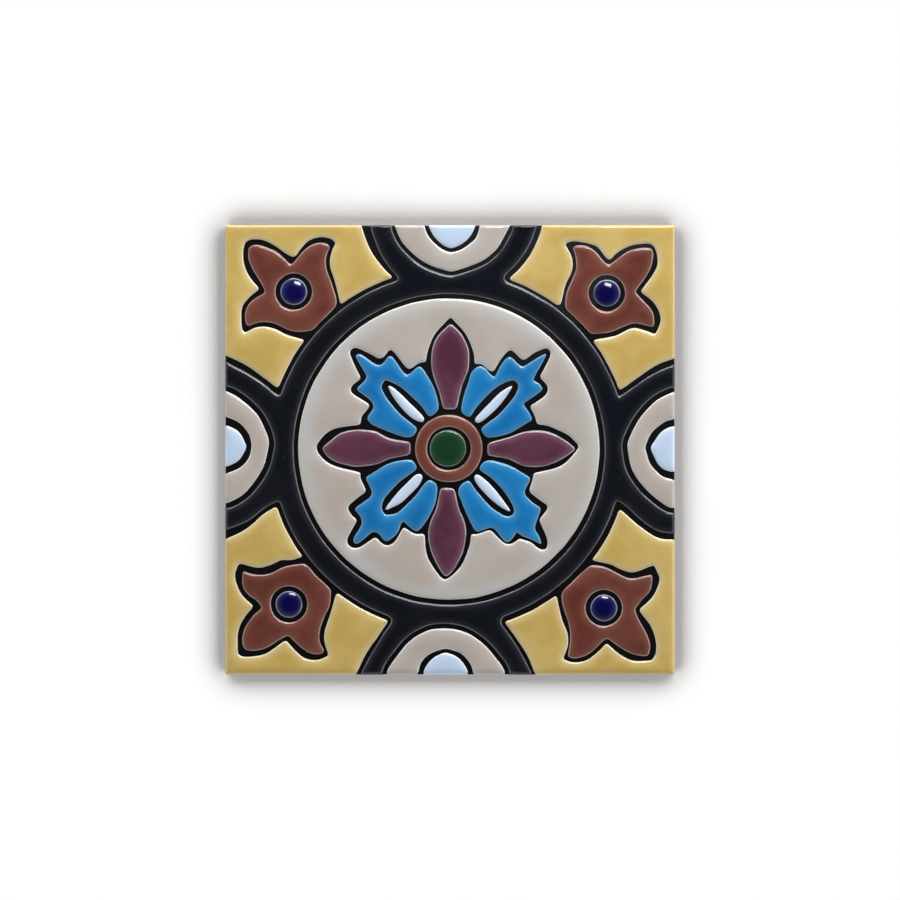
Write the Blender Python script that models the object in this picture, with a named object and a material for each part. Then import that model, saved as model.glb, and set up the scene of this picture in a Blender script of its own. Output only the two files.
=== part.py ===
"""A square wall tile with a dry-line glaze pattern, lying face up.

The tile is one fired piece. Its face is bare along the drawn lines, and between
them each glaze stands as a low pool with a sloping rim. The script works in
metres with +Z up. The origin is under the middle of the back, +X runs to the
right of the pattern and +Y to its top.
"""

from math import atan2, ceil, cos, pi, sin

import bmesh
import bpy
from mathutils import Vector
from mathutils.geometry import delaunay_2d_cdt, intersect_point_line

# Outlines are written in millimetres on the face, with (0, 0) in its middle.
MM = 0.001

# Driving dimensions, in millimetres.
TILE_SIDE = 150.0
FACE_LEVEL = 6.5
GLAZE_HEIGHT = 0.6
RIM_WIDTH = 0.4
BACK_ARRIS = 0.6
OVERHANG = 1.0

# The pattern was laid on the tile this far off its middle.
PATTERN_OFFSET = Vector((0.0, -0.1))

# A drawn line gets a point about this often, and an arc strays this little from its circle.
LINE_STEP = 2.4
ARC_ERROR = 0.1

GLAZE_COLOUR = (0.20, 0.17, 0.13, 1.0)
GLAZE_ROUGHNESS = 0.15

# The round medallion, and the ring of glaze round it.
MEDALLION = (-0.5, 0.1)
CREAM_CENTRE = (-0.4, 0.4)
CREAM_RADIUS = 50.15
BLACK_INNER_CENTRE = (-0.3, 0.3)
BLACK_INNER_RADIUS = 52.1
BLACK_OUTER_RADIUS = 58.7
YELLOW_RADIUS = 60.4

# The round eye of the flower.
EYE = (-0.4, 0.6)
EYE_GREEN_CENTRE = (-0.7, 0.6)
EYE_GREEN_RADIUS = 6.2
EYE_RING_INNER_RADIUS = 7.45
EYE_RING_OUTER_RADIUS = 11.1

# The yellow and the black meet in an arc round the top half ring.
TOP_BAND = (0.6, 81.5)
TOP_BAND_RADIUS = 28.8
TOP_YELLOW_RADIUS = 30.9

# A blue dot sits in a round hole in each tulip. It is a small dome, given as steps in
# from its edge and their heights over the lines.
DOT_RADIUS = 4.55
DOT_STEPS = ((0.0, 0.0), (0.4, 0.6), (1.3, 0.88), (2.6, 1.02))
TULIP_HOLE_RADIUS = 6.25
DOTS = {
    "top_left": (-52.1, 52.9),
    "top_right": (52.3, 52.4),
    "bottom_left": (-53.7, -51.4),
    "bottom_right": (51.3, -52.6),
}


def between(before, start, end, after, share):
    """A point on the smooth line through four points, this share of the way along its middle."""
    a = 2 * start
    b = end - before
    c = 2 * before - 5 * start + 4 * end - after
    d = 3 * start - before - 3 * end + after
    return 0.5 * (a + b * share + c * share**2 + d * share**3)


def brush(*points):
    """A line drawn smoothly through the points, with both ends."""
    points = [Vector(point) for point in points]
    ends = [2 * points[0] - points[1], *points, 2 * points[-1] - points[-2]]
    line = []
    for before, start, end, after in zip(ends, ends[1:], ends[2:], ends[3:]):
        steps = ceil((end - start).length / LINE_STEP)
        line += [between(before, start, end, after, step / steps) for step in range(steps)]
    return line + [points[-1]]


def turn_steps(turn, radius):
    """How many straight steps a turn about a circle takes."""
    return ceil(abs(turn) / (8 * ARC_ERROR / radius) ** 0.5)


def arc(centre, radius, start, end):
    """The short way round a circle, from the direction of one point to that of another."""
    centre = Vector(centre)
    first = atan2(start[1] - centre.y, start[0] - centre.x)
    turn = atan2(end[1] - centre.y, end[0] - centre.x) - first
    turn = (turn + pi) % (2 * pi) - pi
    steps = turn_steps(turn, radius)
    angles = [first + turn * step / steps for step in range(steps + 1)]
    return [centre + radius * Vector((cos(angle), sin(angle))) for angle in angles]


def circle(centre, radius):
    """A whole circle."""
    steps = turn_steps(2 * pi, radius)
    angles = [2 * pi * step / steps for step in range(steps)]
    return [Vector(centre) + radius * Vector((cos(angle), sin(angle))) for angle in angles]


def chain(*lines):
    """One closed outline from lines that meet end to end."""
    points = []
    for line in lines:
        for point in map(Vector, line):
            if not points or (point - points[-1]).length > RIM_WIDTH:
                points.append(point)
    if (points[0] - points[-1]).length < RIM_WIDTH:
        points.pop()
    return points


def laid(outline):
    """An outline of the pattern, where it lies on the tile."""
    return [point + PATTERN_OFFSET for point in outline]


def anticlockwise(outline):
    """The outline, turned round if it runs clockwise."""
    pairs = zip(outline, outline[1:] + outline[:1])
    area = sum(start.cross(end) for start, end in pairs)
    return outline if area > 0 else outline[::-1]


def tile_corner(right, top):
    """A point a little outside one corner of the tile, for outlines that run off it."""
    reach = TILE_SIDE / 2 + OVERHANG
    return Vector((reach * right, reach * top))


def square(reach):
    """A square round the middle of the face, this far from it each way."""
    return [Vector(point) * reach for point in ((-1, -1), (1, -1), (1, 1), (-1, 1))]


def half_rings():
    """The rings that each side of the tile cuts in half: the outline of the cream, of its
    hole and of the white in it, and the width of the line between cream and black."""
    return {
        "top": (
            chain(
                brush((-18.8, 76.0), (-16.2, 70.0), (-13.5, 66.8), (-9.9, 63.7), (-5.3, 61.3),
                      (0.4, 59.5)),
                brush((0.4, 59.5), (4.9, 60.9), (9.4, 62.6), (13.0, 64.9), (16.3, 68.3),
                      (20.4, 76.0)),
            ),
            chain(
                brush((-9.0, 76.0), (-7.7, 72.0), (-5.6, 69.3), (-2.6, 67.0), (0.4, 65.8)),
                brush((0.4, 65.8), (3.5, 66.7), (6.5, 68.7), (8.9, 71.0), (10.3, 76.0)),
            ),
            chain(
                brush((-7.5, 76.0), (-5.9, 72.3), (-4.1, 70.1), (-1.7, 68.3), (0.5, 67.4)),
                brush((0.5, 67.4), (2.8, 68.3), (5.1, 69.8), (7.2, 72.2), (8.7, 76.0)),
            ),
            1.75,
        ),
        "left": (
            chain(
                brush((-76.0, 20.4), (-70.2, 17.2), (-64.3, 11.7), (-60.9, 4.8), (-60.5, 1.4)),
                brush((-60.5, 1.4), (-62.6, -6.2), (-68.5, -14.2), (-76.0, -18.3)),
            ),
            chain(
                brush((-76.0, 11.7), (-70.9, 9.7), (-68.5, 7.5), (-66.7, 4.8), (-66.1, 1.5)),
                brush((-66.1, 1.5), (-66.7, -1.6), (-68.2, -4.2), (-70.9, -6.4), (-76.0, -8.3)),
            ),
            chain(
                brush((-76.0, 8.5), (-73.0, 7.6), (-70.9, 6.3), (-69.4, 4.5), (-67.9, 1.1)),
                brush((-67.9, 1.1), (-69.4, -1.6), (-71.2, -3.8), (-76.0, -5.9)),
            ),
            2.2,
        ),
        "right": (
            chain(
                brush((76.0, 20.0), (69.1, 16.6), (63.3, 10.6), (59.5, 3.0), (59.3, 0.6)),
                brush((59.3, 0.6), (60.8, -6.4), (65.7, -13.3), (72.4, -18.6), (76.0, -19.4)),
            ),
            chain(
                brush((76.0, 10.7), (72.5, 10.0), (69.5, 8.1), (66.8, 5.4), (65.0, 1.0)),
                brush((65.0, 1.0), (66.5, -4.2), (68.6, -6.9), (71.3, -9.0), (76.0, -10.2)),
            ),
            chain(
                brush((76.0, 8.3), (72.6, 7.2), (70.1, 5.5), (66.9, 0.8)),
                brush((66.9, 0.8), (69.3, -4.3), (71.9, -6.5), (76.0, -7.4)),
            ),
            2.1,
        ),
        "bottom": (
            chain(
                brush((-21.6, -76.0), (-20.0, -72.0), (-15.3, -65.7), (-12.5, -63.0), (-9.3, -61.0),
                      (-5.7, -59.8), (-1.4, -59.5)),
                brush((-1.4, -59.5), (2.5, -59.9), (6.1, -61.2), (9.3, -63.3), (12.2, -65.7),
                      (17.4, -72.2), (18.8, -76.0)),
            ),
            chain(
                brush((-11.0, -76.0), (-9.8, -71.0), (-6.5, -67.7), (-1.4, -66.0)),
                brush((-1.4, -66.0), (3.7, -67.7), (7.0, -71.6), (8.0, -76.0)),
            ),
            chain(
                brush((-9.3, -76.0), (-8.0, -72.3), (-5.2, -69.1), (-1.4, -67.5)),
                brush((-1.4, -67.5), (2.4, -69.1), (5.2, -72.3), (6.3, -76.0)),
            ),
            1.9,
        ),
    }


def tulips():
    """The four brown tulips, each from the tip of its first petal."""
    return {
        "top_left": chain(
            brush((-67.2, 67.3), (-66.2, 68.1), (-64.3, 68.4), (-61.5, 67.7), (-58.1, 66.1),
                  (-55.6, 64.1), (-53.0, 61.6)),
            brush((-53.0, 61.6), (-50.9, 63.8), (-48.9, 66.2), (-46.4, 68.2), (-43.6, 69.1),
                  (-41.5, 68.9), (-40.0, 68.1)),
            brush((-40.0, 68.1), (-41.2, 65.4), (-41.6, 62.8), (-41.2, 59.8), (-39.9, 56.6),
                  (-38.6, 52.7), (-38.0, 50.0), (-38.1, 48.1)),
            brush((-38.1, 48.1), (-42.0, 44.2), (-45.9, 40.1)),
            brush((-45.9, 40.1), (-51.0, 39.6), (-54.5, 40.5), (-58.1, 42.3), (-61.8, 43.0),
                  (-65.2, 42.4), (-67.6, 41.3)),
            brush((-67.6, 41.3), (-68.3, 44.2), (-67.6, 47.6), (-65.4, 50.3), (-61.3, 52.6)),
            brush((-61.3, 52.6), (-63.3, 56.5), (-65.7, 60.3), (-67.1, 63.6), (-67.2, 67.3)),
        ),
        "top_right": chain(
            brush((41.0, 67.6), (42.1, 68.2), (44.4, 68.2), (46.7, 67.5), (49.0, 65.6),
                  (51.0, 63.0), (53.1, 61.6)),
            brush((53.1, 61.6), (56.0, 63.8), (59.0, 66.0), (62.8, 67.3), (66.1, 67.4)),
            brush((66.1, 67.4), (67.4, 66.8), (67.6, 64.5), (67.0, 61.5), (65.3, 58.0),
                  (61.5, 52.8)),
            brush((61.5, 52.8), (63.9, 50.2), (66.6, 47.4), (67.8, 45.2), (68.0, 42.6),
                  (67.8, 41.1)),
            brush((67.8, 41.1), (65.0, 41.9), (61.5, 42.5), (57.7, 41.3), (53.3, 39.5),
                  (47.2, 38.8)),
            brush((47.2, 38.8), (42.9, 43.3), (38.6, 47.4)),
            brush((38.6, 47.4), (38.6, 49.8), (39.2, 53.0), (40.9, 56.9), (42.2, 60.7),
                  (42.0, 64.5), (41.0, 67.6)),
        ),
        "bottom_left": chain(
            brush((-69.1, -40.3), (-67.1, -41.2), (-63.1, -41.8), (-59.4, -41.1), (-55.7, -39.2),
                  (-52.3, -38.3), (-48.5, -37.9)),
            brush((-48.5, -37.9), (-46.7, -39.6), (-44.6, -42.1), (-42.3, -44.1), (-39.7, -46.7)),
            brush((-39.7, -46.7), (-39.9, -49.0), (-40.3, -52.0), (-42.3, -56.1), (-43.6, -60.2),
                  (-43.5, -64.0), (-41.9, -67.2)),
            brush((-41.9, -67.2), (-43.1, -67.9), (-46.4, -67.6), (-49.5, -65.8), (-54.1, -61.5)),
            brush((-54.1, -61.5), (-57.6, -63.5), (-61.0, -65.7), (-64.8, -66.7), (-67.1, -66.7),
                  (-68.7, -66.1)),
            brush((-68.7, -66.1), (-69.2, -63.3), (-68.3, -59.3), (-65.8, -55.6), (-62.5, -52.6)),
            brush((-62.5, -52.6), (-64.5, -49.8), (-66.6, -48.5), (-69.0, -45.5), (-69.1, -40.3)),
        ),
        "bottom_right": chain(
            brush((47.0, -38.5), (49.8, -38.7), (52.6, -39.5), (57.9, -42.2), (60.5, -42.9),
                  (63.0, -42.6), (67.4, -41.5)),
            brush((67.4, -41.5), (67.2, -44.5), (66.3, -47.3), (63.8, -50.0), (61.3, -53.1)),
            brush((61.3, -53.1), (63.3, -57.4), (65.4, -61.2), (66.7, -65.0), (66.1, -68.5)),
            brush((66.1, -68.5), (64.1, -68.5), (61.0, -67.9), (57.3, -66.0), (52.3, -62.5)),
            brush((52.3, -62.5), (50.3, -64.0), (48.8, -65.8), (46.0, -68.0), (42.1, -69.3),
                  (39.3, -68.9)),
            brush((39.3, -68.9), (39.9, -65.8), (40.2, -61.2), (39.6, -57.4), (37.9, -52.6),
                  (37.4, -50.0), (37.4, -47.7), (38.3, -46.4)),
            brush((38.3, -46.4), (40.6, -44.4), (43.1, -41.8), (47.0, -38.5)),
        ),
    }


def yellow_corners():
    """The four yellow corners. Each follows the medallion's ring and leaves its tulip free."""
    return {
        "top_left": chain(
            arc(MEDALLION, YELLOW_RADIUS, (-18.9, 57.1), (-36.5, 48.6)),
            brush((-36.5, 48.6), (-37.5, 53.3), (-38.8, 57.8), (-40.0, 62.0), (-39.3, 66.5),
                  (-37.9, 69.1)),
            brush((-37.9, 69.1), (-39.8, 70.7), (-43.3, 71.2), (-47.2, 70.0), (-49.6, 67.5),
                  (-51.5, 64.8), (-52.7, 64.5)),
            brush((-52.7, 64.5), (-55.6, 66.3), (-60.2, 69.4), (-64.2, 70.5), (-68.1, 69.6),
                  (-69.1, 65.6), (-68.4, 60.7), (-66.3, 56.9), (-63.6, 53.8)),
            brush((-63.6, 53.8), (-66.8, 51.3), (-69.3, 48.0), (-69.7, 43.9), (-69.4, 40.1),
                  (-68.1, 39.0)),
            brush((-68.1, 39.0), (-65.7, 40.5), (-62.2, 41.2), (-58.4, 40.4), (-54.6, 38.5),
                  (-48.4, 36.7)),
            arc(MEDALLION, YELLOW_RADIUS, (-48.4, 36.7), (-57.5, 20.7)),
            brush((-57.5, 20.7), (-61.7, 24.0), (-68.3, 28.6), (-76.0, 32.2)),
            [tile_corner(-1, 1)],
            arc(TOP_BAND, TOP_YELLOW_RADIUS, (-29.8, 76.0), (-18.9, 57.1)),
        ),
        "top_right": chain(
            arc(MEDALLION, YELLOW_RADIUS, (19.6, 56.9), (36.8, 48.5)),
            brush((36.8, 48.5), (37.7, 52.0), (38.6, 55.6), (40.6, 60.0), (40.5, 64.3),
                  (38.2, 68.9)),
            brush((38.2, 68.9), (41.1, 69.9), (43.7, 69.5), (46.7, 68.9), (49.3, 67.9),
                  (51.3, 65.3), (53.1, 63.3)),
            brush((53.1, 63.3), (55.9, 66.1), (60.5, 68.4), (65.9, 69.1), (67.9, 68.1),
                  (69.2, 65.0), (69.1, 61.0), (66.6, 56.9), (63.5, 52.8)),
            brush((63.5, 52.8), (67.1, 50.3), (69.6, 46.8), (70.3, 42.9), (68.6, 38.5)),
            brush((68.6, 38.5), (64.8, 40.0), (61.2, 40.8), (57.7, 39.3), (54.9, 38.0),
                  (48.1, 36.8)),
            arc(MEDALLION, YELLOW_RADIUS, (48.1, 36.8), (56.5, 20.0)),
            brush((56.5, 20.0), (62.3, 24.0), (68.7, 28.4), (76.0, 31.2)),
            [tile_corner(1, 1)],
            arc(TOP_BAND, TOP_YELLOW_RADIUS, (31.0, 76.0), (19.6, 56.9)),
        ),
        "bottom_left": chain(
            arc(MEDALLION, YELLOW_RADIUS, (-58.1, -18.8), (-49.0, -35.3)),
            brush((-49.0, -35.3), (-53.0, -36.5), (-55.9, -36.5), (-58.1, -37.4), (-60.7, -38.5),
                  (-64.2, -39.1), (-70.5, -37.6)),
            brush((-70.5, -37.6), (-71.8, -41.3), (-71.3, -44.7), (-69.3, -48.6), (-65.5, -52.0)),
            brush((-65.5, -52.0), (-68.9, -56.1), (-70.8, -61.0), (-70.9, -67.9)),
            brush((-70.9, -67.9), (-69.4, -68.9), (-65.8, -68.9), (-61.2, -67.8), (-54.8, -63.3)),
            brush((-54.8, -63.3), (-51.8, -66.8), (-48.5, -69.4), (-44.1, -70.0), (-40.3, -68.6)),
            brush((-40.3, -68.6), (-41.7, -64.3), (-41.7, -60.2), (-39.8, -54.6), (-37.9, -47.8)),
            arc(MEDALLION, YELLOW_RADIUS, (-37.9, -47.8), (-20.6, -56.8)),
            brush((-20.6, -56.8), (-24.0, -62.0), (-27.9, -67.6), (-31.9, -76.0)),
            [tile_corner(-1, -1)],
            brush((-76.0, -30.2), (-68.3, -26.6), (-62.7, -21.8), (-58.1, -18.8)),
        ),
        "bottom_right": chain(
            arc(MEDALLION, YELLOW_RADIUS, (56.4, -19.6), (47.3, -36.6)),
            brush((47.3, -36.6), (51.3, -37.5), (53.9, -38.1), (57.7, -39.9), (61.5, -40.6),
                  (68.0, -38.1)),
            brush((68.0, -38.1), (69.6, -41.5), (70.0, -43.6), (67.6, -49.0), (63.0, -53.3)),
            brush((63.0, -53.3), (67.0, -58.5), (68.7, -63.3), (68.8, -67.5), (67.4, -70.2)),
            brush((67.4, -70.2), (64.1, -70.4), (60.5, -70.2), (56.6, -68.2), (52.1, -64.3)),
            brush((52.1, -64.3), (49.5, -67.3), (45.4, -70.2), (41.2, -70.9), (37.5, -69.7)),
            brush((37.5, -69.7), (39.1, -65.6), (39.1, -61.0), (37.3, -56.4), (36.3, -52.6),
                  (35.6, -48.7)),
            arc(MEDALLION, YELLOW_RADIUS, (35.6, -48.7), (18.1, -57.2)),
            brush((18.1, -57.2), (22.4, -63.0), (26.1, -68.9), (29.0, -76.0)),
            [tile_corner(1, -1)],
            brush((76.0, -29.8), (69.7, -29.4), (64.1, -26.1), (56.4, -19.6)),
        ),
    }


def black_limits():
    """What the black band leaves free at each corner of the tile: the yellow and its line."""
    return [
        chain(
            arc(MEDALLION, BLACK_OUTER_RADIUS, (-16.8, 56.5), (-56.6, 17.6)),
            brush((-56.6, 17.6), (-58.7, 19.0), (-62.7, 22.3), (-68.3, 25.8), (-76.0, 29.8)),
            [tile_corner(-1, 1)],
            brush((-26.3, 76.0), (-26.1, 73.6), (-24.5, 69.0), (-22.1, 63.9), (-18.5, 59.2),
                  (-16.9, 57.9)),
        ),
        chain(
            arc(MEDALLION, BLACK_OUTER_RADIUS + 0.4, (17.6, 56.4), (56.1, 17.2)),
            brush((56.1, 17.2), (61.2, 20.8), (67.9, 25.3), (76.0, 28.9)),
            [tile_corner(1, 1)],
            arc(TOP_BAND, TOP_BAND_RADIUS, (28.9, 76.0), (17.3, 58.0)),
        ),
        chain(
            arc(MEDALLION, BLACK_OUTER_RADIUS, (-56.9, -16.4), (-19.4, -55.5)),
            brush((-18.9, -57.0), (-21.9, -61.1), (-24.0, -64.6), (-26.4, -68.6), (-30.4, -76.0)),
            [tile_corner(-1, -1)],
            brush((-76.0, -26.8), (-67.6, -23.5), (-61.7, -19.0), (-56.9, -16.4)),
        ),
        chain(
            arc(MEDALLION, BLACK_OUTER_RADIUS - 0.5, (55.4, -16.1), (16.9, -55.5)),
            brush((16.5, -57.3), (17.6, -59.0), (22.3, -65.6), (27.9, -76.0)),
            [tile_corner(1, -1)],
            brush((76.0, -27.6), (69.7, -26.9), (64.1, -23.4), (59.9, -19.4), (55.4, -16.1)),
        ),
    ]


def petals():
    """The four plum petals, each from its tip."""
    return {
        "top": chain(
            brush((0.3, 42.3), (-3.1, 39.1), (-4.9, 36.5), (-5.9, 33.2), (-6.2, 30.2),
                  (-6.0, 26.9), (-5.2, 23.8), (-3.6, 19.5), (-2.2, 13.8)),
            brush((-2.2, 13.8), (2.1, 13.8)),
            brush((2.1, 13.8), (3.7, 20.7), (4.9, 23.8), (6.1, 26.9), (6.3, 30.7),
                  (6.0, 34.0), (4.9, 36.5), (3.4, 39.1), (0.3, 42.3)),
        ),
        "left": chain(
            brush((-42.8, 0.8), (-39.3, 3.5), (-36.8, 5.4), (-33.7, 6.4), (-30.1, 6.8),
                  (-27.1, 6.6), (-24.8, 6.2), (-22.5, 4.9), (-19.9, 3.8), (-13.3, 2.7)),
            brush((-13.3, 2.7), (-13.3, -1.4)),
            brush((-13.3, -1.4), (-20.2, -2.8), (-24.0, -4.4), (-28.1, -5.1), (-31.7, -5.4),
                  (-34.7, -4.7), (-37.7, -3.9), (-40.7, -2.2), (-42.8, 0.8)),
        ),
        "right": chain(
            brush((41.9, 0.3), (38.7, -2.0), (34.9, -4.0), (31.6, -5.2), (28.3, -5.4),
                  (25.2, -5.2), (22.7, -4.3), (19.1, -2.7), (12.6, -1.7)),
            brush((12.6, -1.7), (12.6, 2.3)),
            brush((12.6, 2.3), (19.1, 4.1), (22.2, 5.2), (25.2, 6.1), (28.6, 6.5),
                  (31.9, 6.2), (35.4, 5.0), (39.2, 2.7), (41.9, 0.3)),
        ),
        "bottom": chain(
            brush((-1.1, -42.2), (1.4, -39.6), (2.6, -37.3), (4.2, -34.0), (5.1, -30.2),
                  (5.3, -26.4), (4.4, -23.0), (2.9, -19.5), (1.4, -12.8)),
            brush((1.4, -12.8), (-3.1, -12.6)),
            brush((-3.1, -12.6), (-4.6, -19.5), (-6.2, -23.0), (-7.1, -26.6), (-7.1, -29.7),
                  (-6.4, -33.2), (-4.9, -36.8), (-2.6, -40.8), (-1.1, -42.2)),
        ),
    }


def leaves():
    """The four blue leaves. Each runs in three lobes and wraps both sides of a white slit."""
    return {
        "top_left": chain(
            brush((-31.5, 31.8), (-29.9, 32.0), (-28.1, 30.9), (-26.1, 29.4), (-24.5, 28.4),
                  (-23.0, 28.3), (-21.7, 29.4), (-20.5, 31.2), (-19.6, 31.4)),
            brush((-19.6, 31.4), (-18.2, 29.7), (-16.9, 27.6), (-15.6, 25.8), (-14.2, 24.8)),
            brush((-14.2, 24.8), (-12.3, 26.3), (-11.0, 27.6), (-9.9, 28.0)),
            brush((-9.9, 28.0), (-8.5, 26.1), (-6.9, 23.5), (-5.4, 20.7), (-4.4, 17.4),
                  (-4.0, 15.4), (-4.3, 13.1), (-6.9, 11.2)),
            brush((-6.9, 11.2), (-10.0, 15.4), (-14.8, 20.0), (-17.6, 22.0), (-21.7, 23.8)),
            brush((-21.7, 23.8), (-23.0, 21.2), (-22.0, 18.7), (-20.4, 16.1), (-16.9, 12.1),
                  (-14.3, 10.0), (-10.9, 7.3)),
            brush((-10.9, 7.3), (-11.8, 5.4), (-12.8, 4.5)),
            brush((-12.8, 4.5), (-14.8, 4.5), (-17.4, 5.2), (-22.0, 7.0), (-25.8, 8.7),
                  (-27.7, 10.7)),
            brush((-27.7, 10.7), (-25.8, 13.3), (-25.4, 14.6), (-26.1, 16.4), (-29.1, 18.9),
                  (-31.2, 20.4)),
            brush((-31.2, 20.4), (-28.1, 23.3), (-27.7, 24.8), (-28.4, 26.1), (-30.9, 30.4),
                  (-31.5, 31.8)),
        ),
        "top_right": chain(
            brush((32.2, 32.2), (29.9, 31.2), (27.6, 29.7), (25.9, 28.6), (24.3, 27.7),
                  (21.8, 29.4), (20.0, 31.3)),
            brush((20.0, 31.3), (18.7, 30.4), (17.2, 28.4), (15.9, 25.8), (14.9, 24.0)),
            brush((14.9, 24.0), (13.9, 24.8), (11.3, 27.6), (10.0, 28.0), (8.5, 27.2),
                  (7.2, 25.6), (6.5, 23.3), (4.8, 18.2), (3.7, 13.3)),
            brush((3.7, 13.3), (4.3, 12.3), (6.5, 11.0)),
            brush((6.5, 11.0), (8.0, 13.3), (10.0, 15.9), (12.6, 18.7), (15.2, 21.0),
                  (17.7, 22.5), (20.0, 23.4), (21.8, 23.5)),
            brush((21.8, 23.5), (23.0, 21.5), (22.3, 19.2), (20.8, 16.7), (15.9, 11.3),
                  (13.1, 9.3), (10.2, 7.2)),
            brush((10.2, 7.2), (11.3, 5.4), (12.3, 4.4)),
            brush((12.3, 4.4), (14.6, 4.5), (17.7, 5.2), (21.0, 6.4), (25.9, 9.4),
                  (27.3, 10.0)),
            brush((27.3, 10.0), (26.9, 11.3), (25.9, 13.1), (24.1, 15.5)),
            brush((24.1, 15.5), (26.9, 17.4), (28.9, 18.9), (31.0, 20.3)),
            brush((31.0, 20.3), (29.4, 22.3), (27.4, 23.2)),
            brush((27.4, 23.2), (28.2, 24.8), (30.7, 29.4), (32.2, 32.2)),
        ),
        "bottom_left": chain(
            brush((-14.8, -3.3), (-12.8, -3.4), (-11.5, -4.9), (-11.1, -6.2)),
            brush((-11.1, -6.2), (-15.1, -9.0), (-17.4, -10.8), (-21.5, -15.4), (-22.6, -17.4),
                  (-22.9, -19.7), (-21.7, -21.8)),
            brush((-21.7, -21.8), (-18.2, -21.3), (-15.9, -19.7), (-11.5, -15.4), (-8.7, -11.6),
                  (-6.9, -9.8)),
            brush((-6.9, -9.8), (-5.2, -10.8), (-4.4, -12.1), (-4.4, -13.9), (-4.9, -16.9),
                  (-5.9, -19.7), (-8.7, -24.6), (-11.1, -27.2)),
            brush((-11.1, -27.2), (-13.6, -25.3), (-15.5, -23.3)),
            brush((-15.5, -23.3), (-16.4, -24.3), (-17.1, -26.4), (-18.4, -28.4), (-21.2, -30.3),
                  (-22.2, -29.7), (-23.3, -28.1), (-24.8, -27.1), (-26.3, -27.4), (-29.9, -30.4),
                  (-31.4, -31.2), (-32.3, -30.6)),
            brush((-32.3, -30.6), (-31.9, -28.9), (-29.4, -25.1), (-29.6, -22.3),
                  (-31.9, -19.5)),
            brush((-31.9, -19.5), (-28.1, -16.9), (-26.3, -15.4), (-25.9, -13.9), (-26.6, -12.1),
                  (-28.1, -9.1)),
            brush((-28.1, -9.1), (-24.0, -6.7), (-21.0, -4.9), (-17.9, -3.8), (-14.8, -3.3)),
        ),
        "bottom_right": chain(
            brush((9.9, -6.5), (10.3, -5.2), (11.6, -3.9), (13.6, -3.5), (16.7, -4.2),
                  (19.7, -5.2), (22.3, -6.5), (27.0, -9.4)),
            brush((27.0, -9.4), (25.4, -12.3), (24.8, -14.6), (27.6, -17.7), (30.3, -19.3)),
            brush((30.3, -19.3), (29.2, -22.5), (28.2, -25.1), (28.2, -26.6), (29.4, -28.4),
                  (30.6, -31.5)),
            brush((30.6, -31.5), (28.3, -30.2), (25.3, -28.9), (23.8, -28.3), (22.3, -27.1),
                  (20.8, -29.4), (19.2, -30.7)),
            brush((19.2, -30.7), (17.7, -29.7), (15.2, -26.4), (13.6, -25.6), (12.1, -26.1),
                  (8.8, -27.2)),
            brush((8.8, -27.2), (7.5, -25.1), (6.0, -22.0), (4.7, -19.0), (3.7, -16.2),
                  (2.9, -14.6), (3.2, -12.3)),
            brush((3.2, -12.3), (4.4, -11.0), (6.2, -10.0)),
            brush((6.2, -10.0), (9.5, -14.6), (13.6, -19.0), (15.9, -20.7), (18.2, -22.0),
                  (20.3, -22.1), (21.7, -20.7)),
            brush((21.7, -20.7), (20.8, -17.9), (17.7, -13.1), (13.6, -9.0), (9.9, -6.5)),
        ),
    }


def slits():
    """The white slit in each leaf, from its outer end."""
    return {
        "top_left": chain(
            brush((-20.7, 21.6), (-18.9, 20.8), (-13.8, 16.0), (-9.5, 11.6), (-8.5, 10.5),
                  (-9.0, 9.3)),
            brush((-9.0, 9.3), (-11.9, 10.4), (-14.5, 12.5), (-18.4, 17.1), (-20.7, 21.6)),
        ),
        "top_right": chain(
            brush((20.9, 21.6), (16.9, 19.2), (11.8, 14.1), (8.3, 10.4)),
            brush((8.3, 10.4), (8.5, 9.5), (9.5, 9.2), (13.3, 11.9), (17.9, 16.8),
                  (20.9, 21.6)),
        ),
        "bottom_left": chain(
            brush((-21.5, -20.1), (-20.7, -18.4), (-17.1, -13.9), (-12.8, -9.5), (-11.3, -8.2),
                  (-10.0, -7.9), (-9.0, -8.5)),
            brush((-9.0, -8.5), (-10.5, -11.6), (-14.6, -15.9), (-16.9, -17.7), (-21.5, -20.1)),
        ),
        "bottom_right": chain(
            brush((8.0, -8.8), (9.0, -8.1), (12.3, -10.5), (16.1, -14.6), (20.3, -20.5)),
            brush((20.3, -20.5), (17.2, -18.9), (12.6, -15.2), (9.0, -11.1), (8.0, -8.8)),
        ),
    }


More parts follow.
